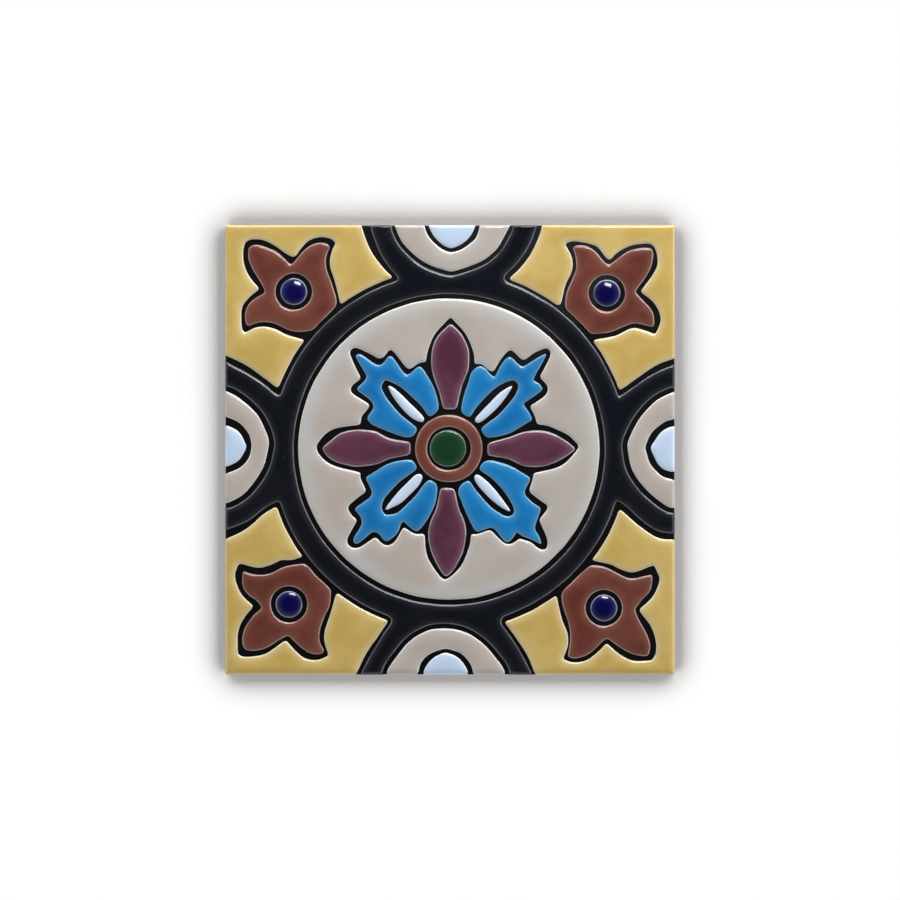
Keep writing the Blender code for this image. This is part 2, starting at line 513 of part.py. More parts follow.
def flower_edge():
    """The edge of the cream round the whole flower, from the top petal round to the left."""
    return chain(
        brush((8.2, 28.7), (7.9, 32.7), (5.1, 39.1), (0.2, 44.6)),
        brush((0.2, 44.6), (-4.9, 39.1), (-7.4, 33.5), (-8.1, 29.3)),
        brush((-8.1, 29.3), (-9.5, 29.5), (-11.0, 28.9), (-12.8, 27.5), (-14.2, 27.2)),
        brush((-14.2, 27.2), (-16.4, 29.9), (-19.2, 33.5), (-20.5, 33.4), (-21.2, 32.2),
              (-22.5, 30.9), (-24.0, 30.8), (-26.1, 32.0), (-30.9, 34.2), (-32.4, 34.1),
              (-33.5, 32.5), (-31.4, 27.1), (-29.6, 24.0)),
        brush((-29.6, 24.0), (-32.7, 21.7), (-33.2, 20.2), (-32.4, 18.7), (-27.2, 15.4),
              (-27.1, 14.3), (-29.6, 11.3), (-29.8, 8.6)),
        brush((-29.8, 8.6), (-36.8, 7.7), (-40.3, 6.4), (-43.1, 3.9), (-44.7, 1.1),
              (-43.6, -1.6), (-40.8, -4.2), (-36.8, -5.8), (-29.6, -7.6)),
        brush((-29.6, -7.6), (-30.0, -9.0), (-27.9, -13.7)),
        brush((-27.9, -13.7), (-32.2, -16.9), (-34.1, -19.0), (-33.0, -21.5), (-30.9, -23.3)),
        brush((-30.9, -23.3), (-33.2, -27.1), (-34.5, -29.9), (-34.0, -31.7), (-32.4, -32.7),
              (-30.2, -32.5), (-25.5, -29.5), (-24.5, -29.3), (-23.3, -30.7), (-21.5, -31.8),
              (-19.9, -31.7), (-18.2, -30.4), (-16.9, -28.1), (-15.5, -25.6)),
        brush((-15.5, -25.6), (-11.8, -27.9), (-8.5, -27.9)),
        brush((-8.5, -27.9), (-8.0, -34.3), (-6.4, -37.8), (-3.6, -41.8), (-1.6, -43.2),
              (1.6, -41.1), (4.2, -37.8), (6.7, -31.5), (7.1, -27.9)),
        brush((7.1, -27.9), (9.0, -28.1), (13.4, -26.5)),
        brush((13.4, -26.5), (15.9, -29.2), (17.9, -30.9), (19.7, -31.5), (21.8, -30.7),
              (23.1, -29.4)),
        brush((23.1, -29.4), (25.3, -30.2), (27.1, -30.9), (28.7, -32.3), (30.4, -33.2),
              (32.2, -33.0), (32.7, -30.7), (31.7, -27.6), (29.7, -23.2)),
        brush((29.7, -23.2), (32.2, -20.2), (32.5, -18.4), (30.4, -16.9), (26.4, -13.7)),
        brush((26.4, -13.7), (27.8, -9.3), (27.9, -7.7)),
        brush((27.9, -7.7), (35.0, -6.1), (38.6, -4.2), (42.9, 0.9), (41.1, 3.6),
              (38.6, 5.7), (32.5, 8.2), (28.9, 8.8)),
        brush((28.9, 8.8), (28.4, 11.3), (26.6, 14.7)),
        brush((26.6, 14.7), (31.5, 17.9), (32.6, 19.7), (32.5, 21.7), (29.9, 24.3)),
        brush((29.9, 24.3), (32.5, 29.1), (33.5, 31.4), (33.5, 33.0), (32.2, 34.1),
              (28.2, 32.7), (24.6, 30.2), (22.3, 32.0), (20.8, 33.4), (19.5, 33.4),
              (16.9, 30.4), (14.4, 26.1)),
        brush((14.4, 26.1), (12.6, 27.1), (10.5, 28.9), (8.2, 28.7)),
    )


def glaze_pools():
    """Every pool of glaze, as its outline and the outlines of what it leaves free."""
    rings = list(half_rings().values())
    around_rings = [step_in(anticlockwise(ring[0]), -ring[3]) for ring in rings]
    pools = [
        (square(TILE_SIDE / 2 + OVERHANG),
         [circle(BLACK_INNER_CENTRE, BLACK_INNER_RADIUS), *black_limits(), *around_rings]),
        (circle(CREAM_CENTRE, CREAM_RADIUS), [flower_edge()]),
        (circle(EYE, EYE_RING_OUTER_RADIUS), [circle(EYE, EYE_RING_INNER_RADIUS)]),
        (circle(EYE_GREEN_CENTRE, EYE_GREEN_RADIUS), []),
    ]
    for cream, hole, white, _ in rings:
        pools += [(cream, [hole]), (white, [])]
    for corner, tulip in tulips().items():
        pools.append((tulip, [circle(DOTS[corner], TULIP_HOLE_RADIUS)]))
    for shapes in (yellow_corners(), petals(), leaves(), slits()):
        pools += [(outline, []) for outline in shapes.values()]
    return pools


def step_in(outline, distance):
    """An anticlockwise outline moved in, or out for a distance under zero. Crowded points go."""
    moved = []
    for before, point, after in zip(outline[-1:] + outline[:-1], outline, outline[1:] + outline[:1]):
        first = (point - before).normalized()
        second = (after - point).normalized()
        turned = Vector((-first.y - second.y, first.x + second.x)) / (1 + first.dot(second))
        moved.append(point + distance * turned)
    return [point for point in moved if clearance(point, outline) > 0.95 * abs(distance)]


def clearance(point, outline):
    """How far a point is from an outline."""
    nearest = []
    for start, end in zip(outline, outline[1:] + outline[:1]):
        foot, share = intersect_point_line(point, start, end)
        nearest.append((point - (start if share < 0 else end if share > 1 else foot.xy)).length)
    return min(nearest)


def terraces():
    """Each level part of the face, as its height over the lines, its outline and its gaps."""
    levels = []
    for outline, gaps in glaze_pools():
        outline = anticlockwise(outline)
        gaps = [anticlockwise(gap) for gap in gaps]
        levels.append((0.0, outline, gaps))
        raised_gaps = [step_in(gap, -RIM_WIDTH) for gap in gaps]
        levels.append((GLAZE_HEIGHT, step_in(outline, RIM_WIDTH), raised_gaps))
    for centre in DOTS.values():
        levels += [(height, circle(centre, DOT_RADIUS - inset), []) for inset, height in DOT_STEPS]
    return [
        (height, laid(outline), [laid(gap) for gap in gaps]) for height, outline, gaps in levels
    ]


def add_face(mesh):
    """Fills the tile's face with triangles that follow every outline, and lifts the glaze."""
    outlines = [square(TILE_SIDE / 2), square(TILE_SIDE / 2 - RIM_WIDTH)]
    regions = []
    for height, outline, gaps in terraces():
        first = len(outlines)
        outlines += [outline, *gaps]
        regions.append((height, first, set(range(first + 1, len(outlines)))))
    points = [point for outline in outlines for point in outline]
    loops = []
    for outline in outlines:
        start = sum(map(len, loops))
        loops.append(list(range(start, start + len(outline))))
    flat, _, triangles, _, _, sources = delaunay_2d_cdt(points, [], loops, 1, 1e-5)
    on_tile = [(triangle, inside) for triangle, inside in zip(triangles, sources) if 0 in inside]
    heights = {}
    for triangle, inside in on_tile:
        height = 0.0
        for region_height, outer, gaps in regions:
            if 1 in inside and outer in inside and not gaps.intersection(inside):
                height = max(height, region_height)
        for index in triangle:
            heights[index] = max(height, heights.get(index, 0.0))
    corners = {
        index: mesh.verts.new((*flat[index], FACE_LEVEL + height))
        for index, height in heights.items()
    }
    for triangle, _ in on_tile:
        mesh.faces.new([corners[index] for index in triangle])


def add_body(mesh):
    """Drops the sides of the tile from its face, breaks the lower edge and closes the back."""
    rim = [edge for edge in mesh.edges if edge.is_boundary]
    for level, shrink in ((BACK_ARRIS, 0.0), (0.0, BACK_ARRIS)):
        new = bmesh.ops.extrude_edge_only(mesh, edges=rim)["geom"]
        rim = [part for part in new if isinstance(part, bmesh.types.BMEdge)]
        scale = 1 - 2 * shrink / TILE_SIDE
        for vert in {vert for edge in rim for vert in edge.verts}:
            vert.co = (vert.co.x * scale, vert.co.y * scale, level)
    bmesh.ops.contextual_create(mesh, geom=rim)


def glaze_material():
    material = bpy.data.materials.new("glazed_ceramic")
    material.use_nodes = True
    shader = material.node_tree.nodes["Principled BSDF"]
    shader.inputs["Base Color"].default_value = GLAZE_COLOUR
    shader.inputs["Roughness"].default_value = GLAZE_ROUGHNESS
    shader.inputs["Metallic"].default_value = 0.0
    return material


def glazed_tile():
    mesh = bmesh.new()
    add_face(mesh)
    add_body(mesh)
    bmesh.ops.scale(mesh, verts=mesh.verts, vec=(MM, MM, MM))
    bmesh.ops.triangulate(mesh, faces=[face for face in mesh.faces if len(face.verts) > 4])
    bmesh.ops.recalc_face_normals(mesh, faces=mesh.faces)
    data = bpy.data.meshes.new("glazed_tile")
    mesh.to_mesh(data)
    mesh.free()
    data.materials.append(glaze_material())
    tile = bpy.data.objects.new("glazed_tile", data)
    bpy.context.scene.collection.objects.link(tile)
    return tile


for old in list(bpy.data.objects):
    bpy.data.objects.remove(old, do_unlink=True)
glazed_tile()
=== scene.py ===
# %% [markdown]
# # A dry-line glazed wall tile
# The tile is one square of fired clay. A pattern is drawn on it with a dark line that
# holds wet glaze back, the fields between the lines are filled with coloured glaze, and
# the firing leaves each field as a low glassy cushion with a rounded rim. This script
# makes that surface in Blender: the clay, the dry line, and a cushion for every field.
# Lengths are in millimetres until a mesh is finished, because tile makers work in them.

# %% Load the tile's frame
import random
from math import atan2, ceil, cos, exp, pi, radians, sin, sqrt

import bmesh
import bpy
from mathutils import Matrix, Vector, noise
from mathutils.geometry import delaunay_2d_cdt
from mathutils.kdtree import KDTree


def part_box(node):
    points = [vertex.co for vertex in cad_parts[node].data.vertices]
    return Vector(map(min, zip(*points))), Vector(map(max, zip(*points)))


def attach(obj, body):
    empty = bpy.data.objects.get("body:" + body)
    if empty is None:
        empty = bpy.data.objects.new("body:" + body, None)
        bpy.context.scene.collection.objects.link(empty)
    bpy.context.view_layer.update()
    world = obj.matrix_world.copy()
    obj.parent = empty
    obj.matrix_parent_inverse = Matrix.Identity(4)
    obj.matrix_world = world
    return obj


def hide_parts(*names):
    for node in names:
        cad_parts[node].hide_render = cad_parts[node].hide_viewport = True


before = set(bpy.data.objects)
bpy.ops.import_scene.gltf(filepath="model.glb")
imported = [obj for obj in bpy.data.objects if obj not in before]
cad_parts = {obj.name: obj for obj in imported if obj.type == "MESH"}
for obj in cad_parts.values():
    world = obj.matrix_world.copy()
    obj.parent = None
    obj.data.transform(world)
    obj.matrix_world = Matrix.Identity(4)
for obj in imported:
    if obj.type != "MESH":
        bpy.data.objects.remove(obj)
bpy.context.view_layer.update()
MM = 0.001
low, high = (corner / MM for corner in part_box("glazed_tile"))
TILE_SIDE = high.x - low.x
print(f"nodes in the frame: {len(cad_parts)}")
print(f"the tile is {TILE_SIDE:.1f} mm square and {high.z:.2f} mm thick")

# %% [markdown]
# ## The levels of the face
# The dry line is flat and bare. The glaze turns up beside it in a small round rim and
# swells on towards its middle. At the tile's own edge the glaze rolls over the arris and
# ends a little way down the side, in a wider round that isn't the same everywhere.

# %% Name the levels and rims
LINE_LEVEL = 6.5
RIM_HEIGHT = 0.35
RIM_WIDTH = 0.62
CROWN = 0.45
CROWN_REACH = 1.3
ROLL_DROP = 1.2
ROLL_WIDTH = 1.35
SKIRT_LEVEL = 5.6
GLAZE_REACH = TILE_SIDE / 2
CLAY_REACH = GLAZE_REACH - 0.12
crown_level = LINE_LEVEL + RIM_HEIGHT + CROWN
print(f"the lines lie at {LINE_LEVEL} mm and the glaze crowns at {crown_level:.1f} mm")

# %% [markdown]
# ## Drawing with a brush
# The outlines are drawn as the maker draws them: a few places that the brush passes,
# joined by a smooth line. A Catmull-Rom curve does this, since it goes through each
# point. Round stretches are arcs and circles. Every line is cut into short steps, so that
# a rim's highlight follows it without corners.

# %% Make the brush, the arc and the circle
LINE_STEP = 0.45


def between(before, start, end, after, share):
    """A point on the smooth line through four points, this share of the way along its middle."""
    a = 2 * start
    b = end - before
    c = 2 * before - 5 * start + 4 * end - after
    d = 3 * start - before - 3 * end + after
    return 0.5 * (a + b * share + c * share**2 + d * share**3)


def brush(*points):
    """A line drawn smoothly through the points, with both ends."""
    points = [Vector(point) for point in points]
    ends = [2 * points[0] - points[1], *points, 2 * points[-1] - points[-2]]
    line = []
    for before, start, end, after in zip(ends, ends[1:], ends[2:], ends[3:]):
        steps = ceil((end - start).length / LINE_STEP)
        line += [between(before, start, end, after, step / steps) for step in range(steps)]
    return line + [points[-1]]


def turned(centre, radius, first, turn):
    """Points round a circle, from one angle through this much turn, without the last."""
    steps = ceil(abs(turn) * radius / LINE_STEP)
    angles = [first + turn * step / steps for step in range(steps)]
    return [Vector(centre) + radius * Vector((cos(angle), sin(angle))) for angle in angles]


def arc(centre, radius, start, end):
    """The short way round a circle, from the direction of one point to that of another."""
    first, last = (atan2(point[1] - centre[1], point[0] - centre[0]) for point in (start, end))
    return turned(centre, radius, first, (last - first + pi) % (2 * pi) - pi)


def circle(centre, radius):
    """A whole circle."""
    return turned(centre, radius, 0, 2 * pi)


def chain(*lines):
    """One closed outline from lines that meet end to end, with its straight runs cut up too."""
    corners = [Vector(point) for line in lines for point in line]
    points = []
    for start, end in zip(corners, corners[1:] + corners[:1]):
        steps = round((end - start).length / LINE_STEP)
        points += [start.lerp(end, step / steps) for step in range(steps)]
    return points


print(f"a circle of 50 mm radius has {len(circle((0, 0), 50))} points")


# %% Turn an outline round and step it in or out
def sides(outline):
    """The two ends of each side of a closed outline."""
    return zip(outline, outline[1:] + outline[:1])


def anticlockwise(outline):
    """The outline, turned round if it runs clockwise."""
    area = sum(start.cross(end) for start, end in sides(outline))
    return outline if area > 0 else outline[::-1]


def step_in(outline, distance):
    """The points of an anticlockwise outline, moved this far in."""
    moved = []
    triples = zip(outline[-1:] + outline[:-1], outline, outline[1:] + outline[:1])
    for before, point, after in triples:
        along = (after - before).normalized()
        moved.append(point + distance * Vector((-along.y, along.x)))
    return moved


print(f"a circle stepped in by 2 mm starts at {step_in(circle((0, 0), 50), 2)[0].x:.1f} mm")

# %% [markdown]
# ## The medallion and the dots
# A cream disc lies in the middle, inside a broad black ring, and the flower's eye sits
# almost in its centre. The circles were drawn by hand one after another, so no two of them
# share a centre quite.

# %% Place the circles
MEDALLION = (-0.5, 0.1)
CREAM_CENTRE = (-0.4, 0.4)
CREAM_RADIUS = 50.15
BLACK_INNER_CENTRE = (-0.3, 0.3)
BLACK_INNER_RADIUS = 52.1
BLACK_OUTER_RADIUS = 58.7
YELLOW_RADIUS = 60.4

EYE = (-0.4, 0.6)
EYE_GREEN_CENTRE = (-0.7, 0.6)
EYE_GREEN_RADIUS = 6.2
EYE_RING_INNER_RADIUS = 7.45
EYE_RING_OUTER_RADIUS = 11.1

TOP_BAND = (0.6, 81.5)
TOP_BAND_RADIUS = 28.8
TOP_YELLOW_RADIUS = 30.9

DOT_RADIUS = 4.55
TULIP_HOLE_RADIUS = 6.25
DOTS = {
    "top_left": (-52.1, 52.9),
    "top_right": (52.3, 52.4),
    "bottom_left": (-53.7, -51.4),
    "bottom_right": (51.3, -52.6),
}
print(f"{len(DOTS)} dots stand round the medallion")

# %% [markdown]
# ## The half rings
# Each side of the tile cuts a smaller set of rings in half, and the next tile on the wall
# completes them. Their arches come to a soft point, so a brush draws them and not a
# circle. A set has the outline of its cream ring, of the ring's hole and of the white in
# it, and the width of the line between cream and black. All of them run off the tile.

# %% Draw the half rings
HALF_RINGS = {
    "top": (
        chain(
            brush((-18.8, 76.0), (-16.2, 70.0), (-13.5, 66.8), (-9.9, 63.7), (-5.3, 61.3),
                  (0.4, 59.5)),
            brush((0.4, 59.5), (4.9, 60.9), (9.4, 62.6), (13.0, 64.9), (16.3, 68.3),
                  (20.4, 76.0)),
        ),
        chain(
            brush((-9.0, 76.0), (-7.7, 72.0), (-5.6, 69.3), (-2.6, 67.0), (0.4, 65.8)),
            brush((0.4, 65.8), (3.5, 66.7), (6.5, 68.7), (8.9, 71.0), (10.3, 76.0)),
        ),
        chain(
            brush((-7.5, 76.0), (-5.9, 72.3), (-4.1, 70.1), (-1.7, 68.3), (0.5, 67.4)),
            brush((0.5, 67.4), (2.8, 68.3), (5.1, 69.8), (7.2, 72.2), (8.7, 76.0)),
        ),
        1.75,
    ),
    "left": (
        chain(
            brush((-76.0, 20.4), (-70.2, 17.2), (-64.3, 11.7), (-60.9, 4.8), (-60.5, 1.4)),
            brush((-60.5, 1.4), (-62.6, -6.2), (-68.5, -14.2), (-76.0, -18.3)),
        ),
        chain(
            brush((-76.0, 11.7), (-70.9, 9.7), (-68.5, 7.5), (-66.7, 4.8), (-66.1, 1.5)),
            brush((-66.1, 1.5), (-66.7, -1.6), (-68.2, -4.2), (-70.9, -6.4), (-76.0, -8.3)),
        ),
        chain(
            brush((-76.0, 8.5), (-73.0, 7.6), (-70.9, 6.3), (-69.4, 4.5), (-67.9, 1.1)),
            brush((-67.9, 1.1), (-69.4, -1.6), (-71.2, -3.8), (-76.0, -5.9)),
        ),
        2.2,
    ),
    "right": (
        chain(
            brush((76.0, 20.0), (69.1, 16.6), (63.3, 10.6), (59.5, 3.0), (59.3, 0.6)),
            brush((59.3, 0.6), (60.8, -6.4), (65.7, -13.3), (72.4, -18.6), (76.0, -19.4)),
        ),
        chain(
            brush((76.0, 10.7), (72.5, 10.0), (69.5, 8.1), (66.8, 5.4), (65.0, 1.0)),
            brush((65.0, 1.0), (66.5, -4.2), (68.6, -6.9), (71.3, -9.0), (76.0, -10.2)),
        ),
        chain(
            brush((76.0, 8.3), (72.6, 7.2), (70.1, 5.5), (66.9, 0.8)),
            brush((66.9, 0.8), (69.3, -4.3), (71.9, -6.5), (76.0, -7.4)),
        ),
        2.1,
    ),
    "bottom": (
        chain(
            brush((-21.6, -76.0), (-20.0, -72.0), (-15.3, -65.7), (-12.5, -63.0), (-9.3, -61.0),
                  (-5.7, -59.8), (-1.4, -59.5)),
            brush((-1.4, -59.5), (2.5, -59.9), (6.1, -61.2), (9.3, -63.3), (12.2, -65.7),
                  (17.4, -72.2), (18.8, -76.0)),
        ),
        chain(
            brush((-11.0, -76.0), (-9.8, -71.0), (-6.5, -67.7), (-1.4, -66.0)),
            brush((-1.4, -66.0), (3.7, -67.7), (7.0, -71.6), (8.0, -76.0)),
        ),
        chain(
            brush((-9.3, -76.0), (-8.0, -72.3), (-5.2, -69.1), (-1.4, -67.5)),
            brush((-1.4, -67.5), (2.4, -69.1), (5.2, -72.3), (6.3, -76.0)),
        ),
        1.9,
    ),
}
print(f"{len(HALF_RINGS)} half rings stand round the tile's edge")

# %% [markdown]
# ## The tulips
# A brown tulip stands in each corner with a blue dot at its heart. Each outline runs from
# the tip of its first petal round to where it started, and breaks only where the brush
# turned a sharp corner.

# %% Draw the four tulips
TULIPS = {
    "top_left": chain(
        brush((-67.2, 67.3), (-66.2, 68.1), (-64.3, 68.4), (-61.5, 67.7), (-58.1, 66.1),
              (-55.6, 64.1), (-53.0, 61.6)),
        brush((-53.0, 61.6), (-50.9, 63.8), (-48.9, 66.2), (-46.4, 68.2), (-43.6, 69.1),
              (-41.5, 68.9), (-40.0, 68.1)),
        brush((-40.0, 68.1), (-41.2, 65.4), (-41.6, 62.8), (-41.2, 59.8), (-39.9, 56.6),
              (-38.6, 52.7), (-38.0, 50.0), (-38.1, 48.1)),
        brush((-38.1, 48.1), (-42.0, 44.2), (-45.9, 40.1)),
        brush((-45.9, 40.1), (-51.0, 39.6), (-54.5, 40.5), (-58.1, 42.3), (-61.8, 43.0),
              (-65.2, 42.4), (-67.6, 41.3)),
        brush((-67.6, 41.3), (-68.3, 44.2), (-67.6, 47.6), (-65.4, 50.3), (-61.3, 52.6)),
        brush((-61.3, 52.6), (-63.3, 56.5), (-65.7, 60.3), (-67.1, 63.6), (-67.2, 67.3)),
    ),
    "top_right": chain(
        brush((41.0, 67.6), (42.1, 68.2), (44.4, 68.2), (46.7, 67.5), (49.0, 65.6),
              (51.0, 63.0), (53.1, 61.6)),
        brush((53.1, 61.6), (56.0, 63.8), (59.0, 66.0), (62.8, 67.3), (66.1, 67.4)),
        brush((66.1, 67.4), (67.4, 66.8), (67.6, 64.5), (67.0, 61.5), (65.3, 58.0),
              (61.5, 52.8)),
        brush((61.5, 52.8), (63.9, 50.2), (66.6, 47.4), (67.8, 45.2), (68.0, 42.6),
              (67.8, 41.1)),
        brush((67.8, 41.1), (65.0, 41.9), (61.5, 42.5), (57.7, 41.3), (53.3, 39.5),
              (47.2, 38.8)),
        brush((47.2, 38.8), (42.9, 43.3), (38.6, 47.4)),
        brush((38.6, 47.4), (38.6, 49.8), (39.2, 53.0), (40.9, 56.9), (42.2, 60.7),
              (42.0, 64.5), (41.0, 67.6)),
    ),
    "bottom_left": chain(
        brush((-69.1, -40.3), (-67.1, -41.2), (-63.1, -41.8), (-59.4, -41.1), (-55.7, -39.2),
              (-52.3, -38.3), (-48.5, -37.9)),
        brush((-48.5, -37.9), (-46.7, -39.6), (-44.6, -42.1), (-42.3, -44.1), (-39.7, -46.7)),
        brush((-39.7, -46.7), (-39.9, -49.0), (-40.3, -52.0), (-42.3, -56.1), (-43.6, -60.2),
              (-43.5, -64.0), (-41.9, -67.2)),
        brush((-41.9, -67.2), (-43.1, -67.9), (-46.4, -67.6), (-49.5, -65.8), (-54.1, -61.5)),
        brush((-54.1, -61.5), (-57.6, -63.5), (-61.0, -65.7), (-64.8, -66.7), (-67.1, -66.7),
              (-68.7, -66.1)),
        brush((-68.7, -66.1), (-69.2, -63.3), (-68.3, -59.3), (-65.8, -55.6), (-62.5, -52.6)),
        brush((-62.5, -52.6), (-64.5, -49.8), (-66.6, -48.5), (-69.0, -45.5), (-69.1, -40.3)),
    ),
    "bottom_right": chain(
        brush((47.0, -38.5), (49.8, -38.7), (52.6, -39.5), (57.9, -42.2), (60.5, -42.9),
              (63.0, -42.6), (67.4, -41.5)),
        brush((67.4, -41.5), (67.2, -44.5), (66.3, -47.3), (63.8, -50.0), (61.3, -53.1)),
        brush((61.3, -53.1), (63.3, -57.4), (65.4, -61.2), (66.7, -65.0), (66.1, -68.5)),
        brush((66.1, -68.5), (64.1, -68.5), (61.0, -67.9), (57.3, -66.0), (52.3, -62.5)),
        brush((52.3, -62.5), (50.3, -64.0), (48.8, -65.8), (46.0, -68.0), (42.1, -69.3),
              (39.3, -68.9)),
        brush((39.3, -68.9), (39.9, -65.8), (40.2, -61.2), (39.6, -57.4), (37.9, -52.6),
              (37.4, -50.0), (37.4, -47.7), (38.3, -46.4)),
        brush((38.3, -46.4), (40.6, -44.4), (43.1, -41.8), (47.0, -38.5)),
    ),
}
print(f"the tulips have {sum(map(len, TULIPS.values()))} points")

# %% [markdown]
# ## The yellow corners
# Yellow fills each corner. It follows the medallion's ring, runs along the band of the
# half rings, and leaves its tulip free. Where an outline passes the tile's edge it is cut
# off later, as the maker's brush also ran over the edge.

# %% Draw the four yellow corners
OVERHANG = 1.0


def tile_corner(right, top):
    """A point a little outside one corner of the tile."""
    return Vector((right, top)) * (TILE_SIDE / 2 + OVERHANG)


YELLOW_CORNERS = {
    "top_left": chain(
        arc(MEDALLION, YELLOW_RADIUS, (-18.9, 57.1), (-36.5, 48.6)),
        brush((-36.5, 48.6), (-37.5, 53.3), (-38.8, 57.8), (-40.0, 62.0), (-39.3, 66.5),
              (-37.9, 69.1)),
        brush((-37.9, 69.1), (-39.8, 70.7), (-43.3, 71.2), (-47.2, 70.0), (-49.6, 67.5),
              (-51.5, 64.8), (-52.7, 64.5)),
        brush((-52.7, 64.5), (-55.6, 66.3), (-60.2, 69.4), (-64.2, 70.5), (-68.1, 69.6),
              (-69.1, 65.6), (-68.4, 60.7), (-66.3, 56.9), (-63.6, 53.8)),
        brush((-63.6, 53.8), (-66.8, 51.3), (-69.3, 48.0), (-69.7, 43.9), (-69.4, 40.1),
              (-68.1, 39.0)),
        brush((-68.1, 39.0), (-65.7, 40.5), (-62.2, 41.2), (-58.4, 40.4), (-54.6, 38.5),
              (-48.4, 36.7)),
        arc(MEDALLION, YELLOW_RADIUS, (-48.4, 36.7), (-57.5, 20.7)),
        brush((-57.5, 20.7), (-61.7, 24.0), (-68.3, 28.6), (-76.0, 32.2)),
        [tile_corner(-1, 1)],
        arc(TOP_BAND, TOP_YELLOW_RADIUS, (-29.8, 76.0), (-18.9, 57.1)),
    ),
    "top_right": chain(
        arc(MEDALLION, YELLOW_RADIUS, (19.6, 56.9), (36.8, 48.5)),
        brush((36.8, 48.5), (37.7, 52.0), (38.6, 55.6), (40.6, 60.0), (40.5, 64.3),
              (38.2, 68.9)),
        brush((38.2, 68.9), (41.1, 69.9), (43.7, 69.5), (46.7, 68.9), (49.3, 67.9),
              (51.3, 65.3), (53.1, 63.3)),
        brush((53.1, 63.3), (55.9, 66.1), (60.5, 68.4), (65.9, 69.1), (67.9, 68.1),
              (69.2, 65.0), (69.1, 61.0), (66.6, 56.9), (63.5, 52.8)),
        brush((63.5, 52.8), (67.1, 50.3), (69.6, 46.8), (70.3, 42.9), (68.6, 38.5)),
        brush((68.6, 38.5), (64.8, 40.0), (61.2, 40.8), (57.7, 39.3), (54.9, 38.0),
              (48.1, 36.8)),
        arc(MEDALLION, YELLOW_RADIUS, (48.1, 36.8), (56.5, 20.0)),
        brush((56.5, 20.0), (62.3, 24.0), (68.7, 28.4), (76.0, 31.2)),
        [tile_corner(1, 1)],
        arc(TOP_BAND, TOP_YELLOW_RADIUS, (31.0, 76.0), (19.6, 56.9)),
    ),
    "bottom_left": chain(
        arc(MEDALLION, YELLOW_RADIUS, (-58.1, -18.8), (-49.0, -35.3)),
        brush((-49.0, -35.3), (-53.0, -36.5), (-55.9, -36.5), (-58.1, -37.4), (-60.7, -38.5),
              (-64.2, -39.1), (-70.5, -37.6)),
        brush((-70.5, -37.6), (-71.8, -41.3), (-71.3, -44.7), (-69.3, -48.6), (-65.5, -52.0)),
        brush((-65.5, -52.0), (-68.9, -56.1), (-70.8, -61.0), (-70.9, -67.9)),
        brush((-70.9, -67.9), (-69.4, -68.9), (-65.8, -68.9), (-61.2, -67.8), (-54.8, -63.3)),
        brush((-54.8, -63.3), (-51.8, -66.8), (-48.5, -69.4), (-44.1, -70.0), (-40.3, -68.6)),
        brush((-40.3, -68.6), (-41.7, -64.3), (-41.7, -60.2), (-39.8, -54.6), (-37.9, -47.8)),
        arc(MEDALLION, YELLOW_RADIUS, (-37.9, -47.8), (-20.6, -56.8)),
        brush((-20.6, -56.8), (-24.0, -62.0), (-27.9, -67.6), (-31.9, -76.0)),
        [tile_corner(-1, -1)],
        brush((-76.0, -30.2), (-68.3, -26.6), (-62.7, -21.8), (-58.1, -18.8)),
    ),
    "bottom_right": chain(
        arc(MEDALLION, YELLOW_RADIUS, (56.4, -19.6), (47.3, -36.6)),
        brush((47.3, -36.6), (51.3, -37.5), (53.9, -38.1), (57.7, -39.9), (61.5, -40.6),
              (68.0, -38.1)),
        brush((68.0, -38.1), (69.6, -41.5), (70.0, -43.6), (67.6, -49.0), (63.0, -53.3)),
        brush((63.0, -53.3), (67.0, -58.5), (68.7, -63.3), (68.8, -67.5), (67.4, -70.2)),
        brush((67.4, -70.2), (64.1, -70.4), (60.5, -70.2), (56.6, -68.2), (52.1, -64.3)),
        brush((52.1, -64.3), (49.5, -67.3), (45.4, -70.2), (41.2, -70.9), (37.5, -69.7)),
        brush((37.5, -69.7), (39.1, -65.6), (39.1, -61.0), (37.3, -56.4), (36.3, -52.6),
              (35.6, -48.7)),
        arc(MEDALLION, YELLOW_RADIUS, (35.6, -48.7), (18.1, -57.2)),
        brush((18.1, -57.2), (22.4, -63.0), (26.1, -68.9), (29.0, -76.0)),
        [tile_corner(1, -1)],
        brush((76.0, -29.8), (69.7, -29.4), (64.1, -26.1), (56.4, -19.6)),
    ),
}
print(f"the yellow corners have {sum(map(len, YELLOW_CORNERS.values()))} points")

# %% [markdown]
# ## The black band
# Black is one connected field: the ring round the medallion and the crossing bands to
# each side. It is easiest to say what it leaves free, which is the medallion, the half
# rings, and at each corner of the tile the yellow with the line that edges it.

